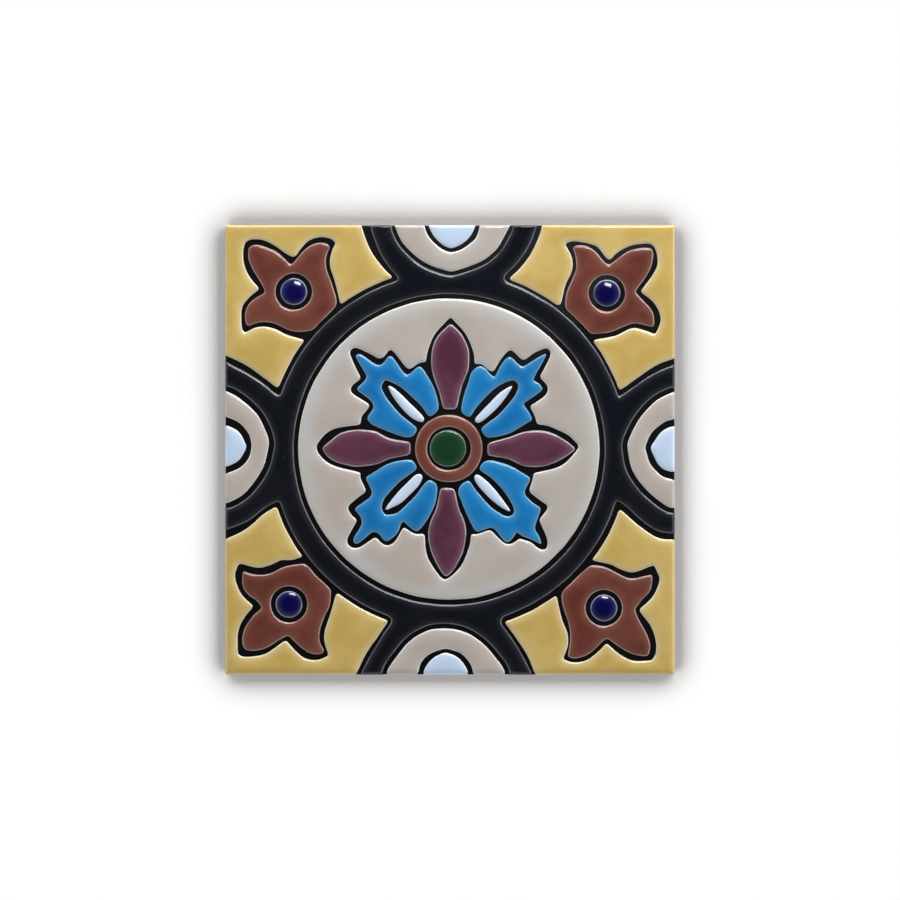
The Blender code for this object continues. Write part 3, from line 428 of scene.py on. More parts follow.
# %% Draw what the black leaves free
BLACK_LIMITS = [
    chain(
        arc(MEDALLION, BLACK_OUTER_RADIUS, (-16.8, 56.5), (-56.6, 17.6)),
        brush((-56.6, 17.6), (-58.7, 19.0), (-62.7, 22.3), (-68.3, 25.8), (-76.0, 29.8)),
        [tile_corner(-1, 1)],
        brush((-26.3, 76.0), (-26.1, 73.6), (-24.5, 69.0), (-22.1, 63.9), (-18.5, 59.2),
              (-16.9, 57.9)),
    ),
    chain(
        arc(MEDALLION, BLACK_OUTER_RADIUS + 0.4, (17.6, 56.4), (56.1, 17.2)),
        brush((56.1, 17.2), (61.2, 20.8), (67.9, 25.3), (76.0, 28.9)),
        [tile_corner(1, 1)],
        arc(TOP_BAND, TOP_BAND_RADIUS, (28.9, 76.0), (17.3, 58.0)),
    ),
    chain(
        arc(MEDALLION, BLACK_OUTER_RADIUS, (-56.9, -16.4), (-19.4, -55.5)),
        brush((-18.9, -57.0), (-21.9, -61.1), (-24.0, -64.6), (-26.4, -68.6), (-30.4, -76.0)),
        [tile_corner(-1, -1)],
        brush((-76.0, -26.8), (-67.6, -23.5), (-61.7, -19.0), (-56.9, -16.4)),
    ),
    chain(
        arc(MEDALLION, BLACK_OUTER_RADIUS - 0.5, (55.4, -16.1), (16.9, -55.5)),
        brush((16.5, -57.3), (17.6, -59.0), (22.3, -65.6), (27.9, -76.0)),
        [tile_corner(1, -1)],
        brush((76.0, -27.6), (69.7, -26.9), (64.1, -23.4), (59.9, -19.4), (55.4, -16.1)),
    ),
]
print(f"the black leaves {len(BLACK_LIMITS)} corners free")

# %% [markdown]
# ## The flower
# Four plum petals stand upright and across, and four blue leaves lie between them. A leaf
# runs in three lobes and wraps both sides of a white slit. One more outline is the edge of
# the cream round the whole flower, with the width of the line left between.

# %% Draw the petals
PETALS = {
    "top": chain(
        brush((0.3, 42.3), (-3.1, 39.1), (-4.9, 36.5), (-5.9, 33.2), (-6.2, 30.2),
              (-6.0, 26.9), (-5.2, 23.8), (-3.6, 19.5), (-2.2, 13.8)),
        brush((-2.2, 13.8), (2.1, 13.8)),
        brush((2.1, 13.8), (3.7, 20.7), (4.9, 23.8), (6.1, 26.9), (6.3, 30.7),
              (6.0, 34.0), (4.9, 36.5), (3.4, 39.1), (0.3, 42.3)),
    ),
    "left": chain(
        brush((-42.8, 0.8), (-39.3, 3.5), (-36.8, 5.4), (-33.7, 6.4), (-30.1, 6.8),
              (-27.1, 6.6), (-24.8, 6.2), (-22.5, 4.9), (-19.9, 3.8), (-13.3, 2.7)),
        brush((-13.3, 2.7), (-13.3, -1.4)),
        brush((-13.3, -1.4), (-20.2, -2.8), (-24.0, -4.4), (-28.1, -5.1), (-31.7, -5.4),
              (-34.7, -4.7), (-37.7, -3.9), (-40.7, -2.2), (-42.8, 0.8)),
    ),
    "right": chain(
        brush((41.9, 0.3), (38.7, -2.0), (34.9, -4.0), (31.6, -5.2), (28.3, -5.4),
              (25.2, -5.2), (22.7, -4.3), (19.1, -2.7), (12.6, -1.7)),
        brush((12.6, -1.7), (12.6, 2.3)),
        brush((12.6, 2.3), (19.1, 4.1), (22.2, 5.2), (25.2, 6.1), (28.6, 6.5),
              (31.9, 6.2), (35.4, 5.0), (39.2, 2.7), (41.9, 0.3)),
    ),
    "bottom": chain(
        brush((-1.1, -42.2), (1.4, -39.6), (2.6, -37.3), (4.2, -34.0), (5.1, -30.2),
              (5.3, -26.4), (4.4, -23.0), (2.9, -19.5), (1.4, -12.8)),
        brush((1.4, -12.8), (-3.1, -12.6)),
        brush((-3.1, -12.6), (-4.6, -19.5), (-6.2, -23.0), (-7.1, -26.6), (-7.1, -29.7),
              (-6.4, -33.2), (-4.9, -36.8), (-2.6, -40.8), (-1.1, -42.2)),
    ),
}
print(f"the petals have {sum(map(len, PETALS.values()))} points")

# %% Draw the leaves
LEAVES = {
    "top_left": chain(
        brush((-31.5, 31.8), (-29.9, 32.0), (-28.1, 30.9), (-26.1, 29.4), (-24.5, 28.4),
              (-23.0, 28.3), (-21.7, 29.4), (-20.5, 31.2), (-19.6, 31.4)),
        brush((-19.6, 31.4), (-18.2, 29.7), (-16.9, 27.6), (-15.6, 25.8), (-14.2, 24.8)),
        brush((-14.2, 24.8), (-12.3, 26.3), (-11.0, 27.6), (-9.9, 28.0)),
        brush((-9.9, 28.0), (-8.5, 26.1), (-6.9, 23.5), (-5.4, 20.7), (-4.4, 17.4),
              (-4.0, 15.4), (-4.3, 13.1), (-6.9, 11.2)),
        brush((-6.9, 11.2), (-10.0, 15.4), (-14.8, 20.0), (-17.6, 22.0), (-21.7, 23.8)),
        brush((-21.7, 23.8), (-23.0, 21.2), (-22.0, 18.7), (-20.4, 16.1), (-16.9, 12.1),
              (-14.3, 10.0), (-10.9, 7.3)),
        brush((-10.9, 7.3), (-11.8, 5.4), (-12.8, 4.5)),
        brush((-12.8, 4.5), (-14.8, 4.5), (-17.4, 5.2), (-22.0, 7.0), (-25.8, 8.7),
              (-27.7, 10.7)),
        brush((-27.7, 10.7), (-25.8, 13.3), (-25.4, 14.6), (-26.1, 16.4), (-29.1, 18.9),
              (-31.2, 20.4)),
        brush((-31.2, 20.4), (-28.1, 23.3), (-27.7, 24.8), (-28.4, 26.1), (-30.9, 30.4),
              (-31.5, 31.8)),
    ),
    "top_right": chain(
        brush((32.2, 32.2), (29.9, 31.2), (27.6, 29.7), (25.9, 28.6), (24.3, 27.7),
              (21.8, 29.4), (20.0, 31.3)),
        brush((20.0, 31.3), (18.7, 30.4), (17.2, 28.4), (15.9, 25.8), (14.9, 24.0)),
        brush((14.9, 24.0), (13.9, 24.8), (11.3, 27.6), (10.0, 28.0), (8.5, 27.2),
              (7.2, 25.6), (6.5, 23.3), (4.8, 18.2), (3.7, 13.3)),
        brush((3.7, 13.3), (4.3, 12.3), (6.5, 11.0)),
        brush((6.5, 11.0), (8.0, 13.3), (10.0, 15.9), (12.6, 18.7), (15.2, 21.0),
              (17.7, 22.5), (20.0, 23.4), (21.8, 23.5)),
        brush((21.8, 23.5), (23.0, 21.5), (22.3, 19.2), (20.8, 16.7), (15.9, 11.3),
              (13.1, 9.3), (10.2, 7.2)),
        brush((10.2, 7.2), (11.3, 5.4), (12.3, 4.4)),
        brush((12.3, 4.4), (14.6, 4.5), (17.7, 5.2), (21.0, 6.4), (25.9, 9.4),
              (27.3, 10.0)),
        brush((27.3, 10.0), (26.9, 11.3), (25.9, 13.1), (24.1, 15.5)),
        brush((24.1, 15.5), (26.9, 17.4), (28.9, 18.9), (31.0, 20.3)),
        brush((31.0, 20.3), (29.4, 22.3), (27.4, 23.2)),
        brush((27.4, 23.2), (28.2, 24.8), (30.7, 29.4), (32.2, 32.2)),
    ),
    "bottom_left": chain(
        brush((-14.8, -3.3), (-12.8, -3.4), (-11.5, -4.9), (-11.1, -6.2)),
        brush((-11.1, -6.2), (-15.1, -9.0), (-17.4, -10.8), (-21.5, -15.4), (-22.6, -17.4),
              (-22.9, -19.7), (-21.7, -21.8)),
        brush((-21.7, -21.8), (-18.2, -21.3), (-15.9, -19.7), (-11.5, -15.4), (-8.7, -11.6),
              (-6.9, -9.8)),
        brush((-6.9, -9.8), (-5.2, -10.8), (-4.4, -12.1), (-4.4, -13.9), (-4.9, -16.9),
              (-5.9, -19.7), (-8.7, -24.6), (-11.1, -27.2)),
        brush((-11.1, -27.2), (-13.6, -25.3), (-15.5, -23.3)),
        brush((-15.5, -23.3), (-16.4, -24.3), (-17.1, -26.4), (-18.4, -28.4), (-21.2, -30.3),
              (-22.2, -29.7), (-23.3, -28.1), (-24.8, -27.1), (-26.3, -27.4), (-29.9, -30.4),
              (-31.4, -31.2), (-32.3, -30.6)),
        brush((-32.3, -30.6), (-31.9, -28.9), (-29.4, -25.1), (-29.6, -22.3),
              (-31.9, -19.5)),
        brush((-31.9, -19.5), (-28.1, -16.9), (-26.3, -15.4), (-25.9, -13.9), (-26.6, -12.1),
              (-28.1, -9.1)),
        brush((-28.1, -9.1), (-24.0, -6.7), (-21.0, -4.9), (-17.9, -3.8), (-14.8, -3.3)),
    ),
    "bottom_right": chain(
        brush((9.9, -6.5), (10.3, -5.2), (11.6, -3.9), (13.6, -3.5), (16.7, -4.2),
              (19.7, -5.2), (22.3, -6.5), (27.0, -9.4)),
        brush((27.0, -9.4), (25.4, -12.3), (24.8, -14.6), (27.6, -17.7), (30.3, -19.3)),
        brush((30.3, -19.3), (29.2, -22.5), (28.2, -25.1), (28.2, -26.6), (29.4, -28.4),
              (30.6, -31.5)),
        brush((30.6, -31.5), (28.3, -30.2), (25.3, -28.9), (23.8, -28.3), (22.3, -27.1),
              (20.8, -29.4), (19.2, -30.7)),
        brush((19.2, -30.7), (17.7, -29.7), (15.2, -26.4), (13.6, -25.6), (12.1, -26.1),
              (8.8, -27.2)),
        brush((8.8, -27.2), (7.5, -25.1), (6.0, -22.0), (4.7, -19.0), (3.7, -16.2),
              (2.9, -14.6), (3.2, -12.3)),
        brush((3.2, -12.3), (4.4, -11.0), (6.2, -10.0)),
        brush((6.2, -10.0), (9.5, -14.6), (13.6, -19.0), (15.9, -20.7), (18.2, -22.0),
              (20.3, -22.1), (21.7, -20.7)),
        brush((21.7, -20.7), (20.8, -17.9), (17.7, -13.1), (13.6, -9.0), (9.9, -6.5)),
    ),
}
print(f"the leaves have {sum(map(len, LEAVES.values()))} points")

# %% Draw the slits
SLITS = {
    "top_left": chain(
        brush((-20.7, 21.6), (-18.9, 20.8), (-13.8, 16.0), (-9.5, 11.6), (-8.5, 10.5),
              (-9.0, 9.3)),
        brush((-9.0, 9.3), (-11.9, 10.4), (-14.5, 12.5), (-18.4, 17.1), (-20.7, 21.6)),
    ),
    "top_right": chain(
        brush((20.9, 21.6), (16.9, 19.2), (11.8, 14.1), (8.3, 10.4)),
        brush((8.3, 10.4), (8.5, 9.5), (9.5, 9.2), (13.3, 11.9), (17.9, 16.8),
              (20.9, 21.6)),
    ),
    "bottom_left": chain(
        brush((-21.5, -20.1), (-20.7, -18.4), (-17.1, -13.9), (-12.8, -9.5), (-11.3, -8.2),
              (-10.0, -7.9), (-9.0, -8.5)),
        brush((-9.0, -8.5), (-10.5, -11.6), (-14.6, -15.9), (-16.9, -17.7), (-21.5, -20.1)),
    ),
    "bottom_right": chain(
        brush((8.0, -8.8), (9.0, -8.1), (12.3, -10.5), (16.1, -14.6), (20.3, -20.5)),
        brush((20.3, -20.5), (17.2, -18.9), (12.6, -15.2), (9.0, -11.1), (8.0, -8.8)),
    ),
}
print(f"the slits have {sum(map(len, SLITS.values()))} points")

# %% Draw the edge of the cream round the flower
FLOWER_EDGE = chain(
    brush((8.2, 28.7), (7.9, 32.7), (5.1, 39.1), (0.2, 44.6)),
    brush((0.2, 44.6), (-4.9, 39.1), (-7.4, 33.5), (-8.1, 29.3)),
    brush((-8.1, 29.3), (-9.5, 29.5), (-11.0, 28.9), (-12.8, 27.5), (-14.2, 27.2)),
    brush((-14.2, 27.2), (-16.4, 29.9), (-19.2, 33.5), (-20.5, 33.4), (-21.2, 32.2),
          (-22.5, 30.9), (-24.0, 30.8), (-26.1, 32.0), (-30.9, 34.2), (-32.4, 34.1),
          (-33.5, 32.5), (-31.4, 27.1), (-29.6, 24.0)),
    brush((-29.6, 24.0), (-32.7, 21.7), (-33.2, 20.2), (-32.4, 18.7), (-27.2, 15.4),
          (-27.1, 14.3), (-29.6, 11.3), (-29.8, 8.6)),
    brush((-29.8, 8.6), (-36.8, 7.7), (-40.3, 6.4), (-43.1, 3.9), (-44.7, 1.1),
          (-43.6, -1.6), (-40.8, -4.2), (-36.8, -5.8), (-29.6, -7.6)),
    brush((-29.6, -7.6), (-30.0, -9.0), (-27.9, -13.7)),
    brush((-27.9, -13.7), (-32.2, -16.9), (-34.1, -19.0), (-33.0, -21.5), (-30.9, -23.3)),
    brush((-30.9, -23.3), (-33.2, -27.1), (-34.5, -29.9), (-34.0, -31.7), (-32.4, -32.7),
          (-30.2, -32.5), (-25.5, -29.5), (-24.5, -29.3), (-23.3, -30.7), (-21.5, -31.8),
          (-19.9, -31.7), (-18.2, -30.4), (-16.9, -28.1), (-15.5, -25.6)),
    brush((-15.5, -25.6), (-11.8, -27.9), (-8.5, -27.9)),
    brush((-8.5, -27.9), (-8.0, -34.3), (-6.4, -37.8), (-3.6, -41.8), (-1.6, -43.2),
          (1.6, -41.1), (4.2, -37.8), (6.7, -31.5), (7.1, -27.9)),
    brush((7.1, -27.9), (9.0, -28.1), (13.4, -26.5)),
    brush((13.4, -26.5), (15.9, -29.2), (17.9, -30.9), (19.7, -31.5), (21.8, -30.7),
          (23.1, -29.4)),
    brush((23.1, -29.4), (25.3, -30.2), (27.1, -30.9), (28.7, -32.3), (30.4, -33.2),
          (32.2, -33.0), (32.7, -30.7), (31.7, -27.6), (29.7, -23.2)),
    brush((29.7, -23.2), (32.2, -20.2), (32.5, -18.4), (30.4, -16.9), (26.4, -13.7)),
    brush((26.4, -13.7), (27.8, -9.3), (27.9, -7.7)),
    brush((27.9, -7.7), (35.0, -6.1), (38.6, -4.2), (42.9, 0.9), (41.1, 3.6),
          (38.6, 5.7), (32.5, 8.2), (28.9, 8.8)),
    brush((28.9, 8.8), (28.4, 11.3), (26.6, 14.7)),
    brush((26.6, 14.7), (31.5, 17.9), (32.6, 19.7), (32.5, 21.7), (29.9, 24.3)),
    brush((29.9, 24.3), (32.5, 29.1), (33.5, 31.4), (33.5, 33.0), (32.2, 34.1),
          (28.2, 32.7), (24.6, 30.2), (22.3, 32.0), (20.8, 33.4), (19.5, 33.4),
          (16.9, 30.4), (14.4, 26.1)),
    brush((14.4, 26.1), (12.6, 27.1), (10.5, 28.9), (8.2, 28.7)),
)
print(f"the cream's inner edge has {len(FLOWER_EDGE)} points")

# %% [markdown]
# ## The fields of each glaze
# A field is an outline with the outlines of what it leaves free. They are sorted by glaze
# here, because one glaze is one piece with one material.

# %% Sort the fields by glaze
TILE_OUTLINE = [tile_corner(*corner) for corner in ((-1, -1), (1, -1), (1, 1), (-1, 1))]

FIELDS = {
    "black": [
        (TILE_OUTLINE, [circle(BLACK_INNER_CENTRE, BLACK_INNER_RADIUS), *BLACK_LIMITS,
                        *(step_in(anticlockwise(ring[0]), -ring[3])
                          for ring in HALF_RINGS.values())]),
    ],
    "yellow": [(outline, []) for outline in YELLOW_CORNERS.values()],
    "cream": [(circle(CREAM_CENTRE, CREAM_RADIUS), [FLOWER_EDGE])]
    + [(ring[0], [ring[1]]) for ring in HALF_RINGS.values()],
    "brown": [(circle(EYE, EYE_RING_OUTER_RADIUS), [circle(EYE, EYE_RING_INNER_RADIUS)])]
    + [(TULIPS[corner], [circle(dot, TULIP_HOLE_RADIUS)]) for corner, dot in DOTS.items()],
    "plum": [(outline, []) for outline in PETALS.values()],
    "blue": [(outline, []) for outline in LEAVES.values()],
    "white": [(outline, []) for outline in SLITS.values()]
    + [(ring[2], []) for ring in HALF_RINGS.values()],
    "green": [(circle(EYE_GREEN_CENTRE, EYE_GREEN_RADIUS), [])],
    "cobalt": [(circle(dot, DOT_RADIUS), []) for dot in DOTS.values()],
}
print(f"{sum(map(len, FIELDS.values()))} fields in {len(FIELDS)} glazes")

# %% [markdown]
# ## A hand's waver and the creep of the melt
# A drawn circle is never quite round, so each outline gets a slow waver a tenth of a
# millimetre deep. Melted glaze pulls its corners round, so the points are also averaged
# with their neighbours, which rounds sharp corners and leaves long lines be. And each
# melt creeps over the line, the black one furthest.

# %% Soften the outlines
# Blender seeds its vector noise by the clock, and a fixed seed draws the same hand each run.
noise.seed_set(1)
PATTERN_OFFSET = Vector((0.0, -0.1))
WAVER = 0.12
WAVER_LENGTH = 5.0
ROUNDING = 6
BLACK_ROUNDING = 14
CREEP = {
    "black": 0.3, "yellow": 0.1, "cream": 0.1, "brown": 0.18, "plum": 0.15,
    "blue": 0.18, "white": 0.15, "green": 0.0, "cobalt": 0.0,
}


def wavered(outline):
    """The outline as a hand draws it, where it lies on the tile."""
    drawn = []
    for point in outline:
        shift = noise.noise_vector(point.to_3d() / WAVER_LENGTH).xy
        drawn.append(point + PATTERN_OFFSET + WAVER * shift)
    return drawn


def rounded(outline, times):
    """The outline with its corners pulled round."""
    for _ in range(times):
        triples = zip(outline[-1:] + outline[:-1], outline, outline[1:] + outline[:1])
        outline = [(before + 2 * point + after) / 4 for before, point, after in triples]
    return outline


def fired(outline, glaze, gap=False):
    """An outline or a gap as the fired glaze keeps it. The tile's own square stays as it is."""
    if outline is TILE_OUTLINE:
        return outline
    soft = rounded(wavered(outline), BLACK_ROUNDING if glaze == "black" else ROUNDING)
    return step_in(anticlockwise(soft), CREEP[glaze] if gap else -CREEP[glaze])


tip = max(fired(PETALS["top"], "plum"), key=lambda point: point.y)
print(f"the top petal now ends at {tip.y:.1f} mm, and was drawn to 42.3 mm")

# %% [markdown]
# ## A cushion of glaze
# How high the glaze stands at a point depends only on how far the point is from the rim,
# so a search tree holds many spots along the rims and is asked for the nearest. Near the
# rim the glaze turns a quarter round, and over the next millimetres it swells a little. A
# slow unevenness breaks the reflections, as on any glaze that was brushed on. The blue
# dots are drops of thick glaze, and stand as round beads.

# %% Measure from the rim
SPOTS = 8
FLOW_LENGTH = 14.0
FLOW_HEIGHT = 0.05
BEAD_CURVE = 10.6
BEAD_RIM = 0.12
ROLL_SLOPE = 0.45
ROLL_CHANGE = 0.25
ROLL_LENGTH = 20.0


def shore(outlines):
    """A search tree of spots along closed outlines."""
    spots = [
        start.lerp(end, spot / SPOTS)
        for outline in outlines
        for start, end in sides(outline)
        for spot in range(SPOTS)
    ]
    tree = KDTree(len(spots))
    for index, spot in enumerate(spots):
        tree.insert(spot.to_3d(), index)
    tree.balance()
    return tree


def quarter_round(share):
    """Height of a quarter circle from 0 to 1 over its width, and 1 past it."""
    return sqrt(1 - (1 - min(share, 1.0)) ** 2)


def pool(point, rim):
    """Height of a brushed field at a point this far from its rim."""
    swell = CROWN * (1 - exp(-rim / CROWN_REACH))
    flow = FLOW_HEIGHT * noise.noise(point.to_3d() / FLOW_LENGTH) * min(rim / 3, 1)
    return RIM_HEIGHT * quarter_round(rim / RIM_WIDTH) + swell + flow


def bead(point, rim):
    """Height of a drop of glaze at a point this far from its rim."""
    dome = (DOT_RADIUS**2 - (DOT_RADIUS - rim) ** 2) / (2 * BEAD_CURVE)
    return BEAD_RIM * quarter_round(rim / RIM_WIDTH) + dome


def roll(point):
    """How far the glaze has dropped where it rolls over the tile's edge."""
    border = max(GLAZE_REACH - max(abs(point.x), abs(point.y)), 0)
    place = 1 - ROLL_SLOPE * point.y / GLAZE_REACH
    width = ROLL_WIDTH * (place + ROLL_CHANGE * noise.noise(point.to_3d() / ROLL_LENGTH))
    return ROLL_DROP * (1 - quarter_round(border / width))


for rim in (0.03, 0.1, 0.35, 0.7, 3.0):
    print(f"{rim} mm from its rim a pool is {pool(Vector((0, 0)), rim):.2f} mm high")


# %% [markdown]
# ## Filling a field with even triangles
# Blender's own face fills make long thin triangles, which show on a glossy cushion. Its
# Delaunay function makes even ones from any points, and says which outlines each lies in,
# so it also cuts the field off at the tile's edge. Rows of points follow the rim closely,
# where the surface turns fast, and a loose honeycomb fills the middle.

# %% Fill one field
RIM_ROWS = (0.03, 0.1, 0.2, 0.34, 0.52, 0.75, 1.1)
COMB = 0.85
COMB_CLEARANCE = 1.4


def honeycomb(outline):
    """Loose points all over the box that holds an outline, inside the tile."""
    chance = random.Random(7)
    reach = GLAZE_REACH - RIM_ROWS[-1] - COMB / 2
    left, right = (pick(point.x for point in outline) for pick in (min, max))
    bottom, top = (pick(point.y for point in outline) for pick in (min, max))
    points = []
    row_height = COMB * sqrt(3) / 2
    for row in range(ceil((top - bottom) / row_height)):
        for column in range(ceil((right - left) / COMB)):
            x = left + COMB * (column + row % 2 / 2) + chance.uniform(-0.12, 0.12)
            y = bottom + row_height * row + chance.uniform(-0.12, 0.12)
            if max(abs(x), abs(y)) < reach:
                points.append(Vector((x, y)))
    return points


def tile_edge():
    """The tile's edge in short steps, with its corners a little round."""
    steps = round(TILE_SIDE / LINE_STEP)
    marks = [GLAZE_REACH * (2 * step / steps - 1) for step in range(steps)]
    outline = []
    for right, up in (((1, 0), (0, 1)), ((0, 1), (-1, 0)), ((-1, 0), (0, -1)), ((0, -1), (1, 0))):
        outline += [Vector(right) * mark - Vector(up) * GLAZE_REACH for mark in marks]
    return rounded(outline, 3)


TILE_EDGE = tile_edge()


def filled(outline, gaps):
    """A field's points with their distance from the rim, and its triangles."""
    rims = shore([outline, *gaps])
    loose = [
        point
        for rows, sign in (((outline,), 1), (gaps, -1), ((TILE_EDGE,), 1))
        for line in rows
        for distance in RIM_ROWS
        for point in step_in(line, sign * distance)
        if line is TILE_EDGE or rims.find(point.to_3d())[2] > 0.93 * distance
    ]
    loose = [point for point in loose if rims.find(point.to_3d())[2] > 0.9 * RIM_ROWS[0]]
    loose += [
        point for point in honeycomb(outline) if rims.find(point.to_3d())[2] > COMB_CLEARANCE
    ]
    loops = []
    points = []
    for line in (TILE_EDGE, outline, *gaps):
        loops.append(list(range(len(points), len(points) + len(line))))
        points += line
    flat, _, triangles, _, _, sources = delaunay_2d_cdt(points + loose, [], loops, 1, 1e-5)
    kept = [
        triangle
        for triangle, inside in zip(triangles, sources)
        if 0 in inside and 1 in inside and len(inside) == 2
    ]
    rim_of = {index: rims.find(flat[index].to_3d())[2] for triangle in kept for index in triangle}
    return flat, rim_of, kept


flat, rim_of, kept = filled(fired(SLITS["top_left"], "white"), [])
print(f"the top left slit has {len(rim_of)} points and {len(kept)} triangles")

# %% [markdown]
# ## From a field to a closed cushion
# The filled surface is lifted point by point. Its open edge is then drawn down below the
# line's level and filled underneath, so every cushion is a closed solid that sits in the
# clay. Each point keeps its distance from the rim as an attribute, because glaze is
# thinner there and the material also paints the rim's highlight from it.

# %% Build the cushions of one glaze
def add_cushion(mesh, rim_layer, outline, gaps, shape):
    """Adds one field's cushion to a mesh."""
    flat, rim_of, triangles = filled(outline, gaps)
    verts = {}
    for index, rim in rim_of.items():
        level = LINE_LEVEL + shape(flat[index], rim) - roll(flat[index])
        verts[index] = mesh.verts.new((*flat[index], level))
        verts[index][rim_layer] = rim
    faces = [mesh.faces.new([verts[index] for index in triangle]) for triangle in triangles]
    around = dict.fromkeys(side for face in faces for side in face.edges)
    edge = [side for side in around if side.is_boundary]
    drawn = bmesh.ops.extrude_edge_only(mesh, edges=edge)["geom"]
    lower = [part for part in drawn if isinstance(part, bmesh.types.BMEdge)]
    lower_verts = {vert for side in lower for vert in side.verts}
    for vert in lower_verts:
        vert.co.z = SKIRT_LEVEL + 0.25 * noise.noise(vert.co / 5)
    lower = [side for side in lower if lower_verts.issuperset(side.verts)]
    bmesh.ops.triangle_fill(mesh, use_beauty=False, edges=lower)


def finished_piece(name, mesh, material, sharp=50):
    """Turns a mesh in millimetres into a finished piece in metres that rides on the tile."""
    bmesh.ops.recalc_face_normals(mesh, faces=mesh.faces)
    bmesh.ops.scale(mesh, verts=mesh.verts, vec=(MM, MM, MM))
    data = bpy.data.meshes.new(name)
    mesh.to_mesh(data)
    mesh.free()
    data.shade_smooth()
    data.set_sharp_from_angle(angle=radians(sharp))
    data.materials.append(material)
    piece = bpy.data.objects.new(name, data)
    bpy.context.scene.collection.objects.link(piece)
    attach(piece, "root")
    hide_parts("glazed_tile")
    print(f"{name}: {len(data.polygons)} faces")
    return piece


def glaze_piece(glaze, shape, material):
    """All the cushions of one glaze."""
    mesh = bmesh.new()
    rim_layer = mesh.verts.layers.float.new("rim_distance")
    for outline, gaps in FIELDS[glaze]:
        gaps = [fired(gap, glaze, gap=True) for gap in gaps]
        add_cushion(mesh, rim_layer, fired(outline, glaze), gaps, shape)
    return finished_piece(f"{glaze}_glaze", mesh, material)


# %% [markdown]
# ## Shader maths as Python
# A material is a graph of nodes. Writing it as expressions keeps it readable: a Value
# wraps a socket, and Python's operators on it add Math nodes. Every other node comes from
# one method, which sets the node up first and then fills or links its sockets.

# %% Make the material builder
class Value:
    """A number that varies over a surface."""

    def __init__(self, graph, socket):
        self.graph = graph
        self.socket = socket

    def math(self, operation, first, second):
        return self.graph.node("Math", {"operation": operation}, {0: first, 1: second})

    def __add__(self, other):
        return self.math("ADD", self, other)

    def __sub__(self, other):
        return self.math("SUBTRACT", self, other)

    def __rsub__(self, other):
        return self.math("SUBTRACT", other, self)

    def __mul__(self, other):
        return self.math("MULTIPLY", self, other)

    def __truediv__(self, other):
        return self.math("DIVIDE", self, other)

    def __pow__(self, other):
        return self.math("POWER", self, other)

    __radd__ = __add__
    __rmul__ = __mul__


class Graph:
    """The nodes of a material or of the world."""

    def __init__(self, owner):
        owner.use_nodes = True
        self.nodes = owner.node_tree.nodes
        self.links = owner.node_tree.links

    def fill(self, socket, value):
        """Links a value to a socket, or sets a number or colour on it."""
        if isinstance(value, Value):
            self.links.new(value.socket, socket)
        else:
            socket.default_value = value

    def node(self, kind, settings=None, sockets=None, output=0):
        """Adds a node, with its settings and then its sockets, and gives one output."""
        node = self.nodes.new("ShaderNode" + kind)
        for name, setting in (settings or {}).items():
            setattr(node, name, setting)
        for name, value in (sockets or {}).items():
            self.fill(node.inputs[name], value)
        return Value(self, node.outputs[output])

    def rise(self, value, start, end):
        """Rises smoothly from 0 to 1 as a value goes from start to end."""
        sockets = {"Value": value, "From Min": start, "From Max": end}
        return self.node("MapRange", {"interpolation_type": "SMOOTHSTEP"}, sockets)


class Finish(Graph):
    """A material that is being put together."""

    def __init__(self, name, roughness):
        self.material = bpy.data.materials.new(name)
        super().__init__(self.material)
        self.shader = self.nodes["Principled BSDF"]
        self.shader.inputs["Roughness"].default_value = roughness
        self.place = self.node("TexCoord", output="Object")

    def set(self, name, value):
        """Fills one of the shader's sockets."""
        self.fill(self.shader.inputs[name], value)

    def clouds(self, size, detail=2.0):
        """Soft noise round 0.5, with patches about this many millimetres across."""
        sockets = {"Vector": self.place, "Scale": 1 / (size * MM), "Detail": detail}
        return self.node("TexNoise", sockets=sockets)

    def cells(self, size, chance=1.0):
        """Distance to scattered points about this many millimetres apart, in their spacing."""
        sockets = {"Vector": self.place, "Scale": 1 / (size * MM), "Randomness": chance}
        return self.node("TexVoronoi", sockets=sockets)

    def from_middle(self):
        """How far the surface is from the middle of the tile, in millimetres."""
        return self.node("VectorMath", {"operation": "LENGTH"}, {0: self.place}, "Value") / MM

    def rim_distance(self):
        """How far the surface is from the glaze's rim, in millimetres."""
        return self.node("Attribute", {"attribute_name": "rim_distance"}, output="Fac")

    def blend(self, share, first, second):
        """A colour between two, or the second where the share is 1."""
        sockets = {0: share, 6: first, 7: second}
        return self.node("Mix", {"data_type": "RGBA"}, sockets, output=2)

    def bump(self, height, depth, strength=1.0):
        """A surface normal from a height that reaches this many millimetres."""
        sockets = {"Height": height, "Distance": depth * MM, "Strength": strength}
        return self.node("Bump", sockets=sockets)


def colour(red, green, blue):
    """A colour as it looks on a screen, 0 to 255, in the linear light that shaders use."""
    linear = [(part / 255) ** 2.2 for part in (red, green, blue)]
    return (*linear, 1.0)


print("a mid grey of 128 is", f"{colour(128, 128, 128)[0]:.2f} in linear light")
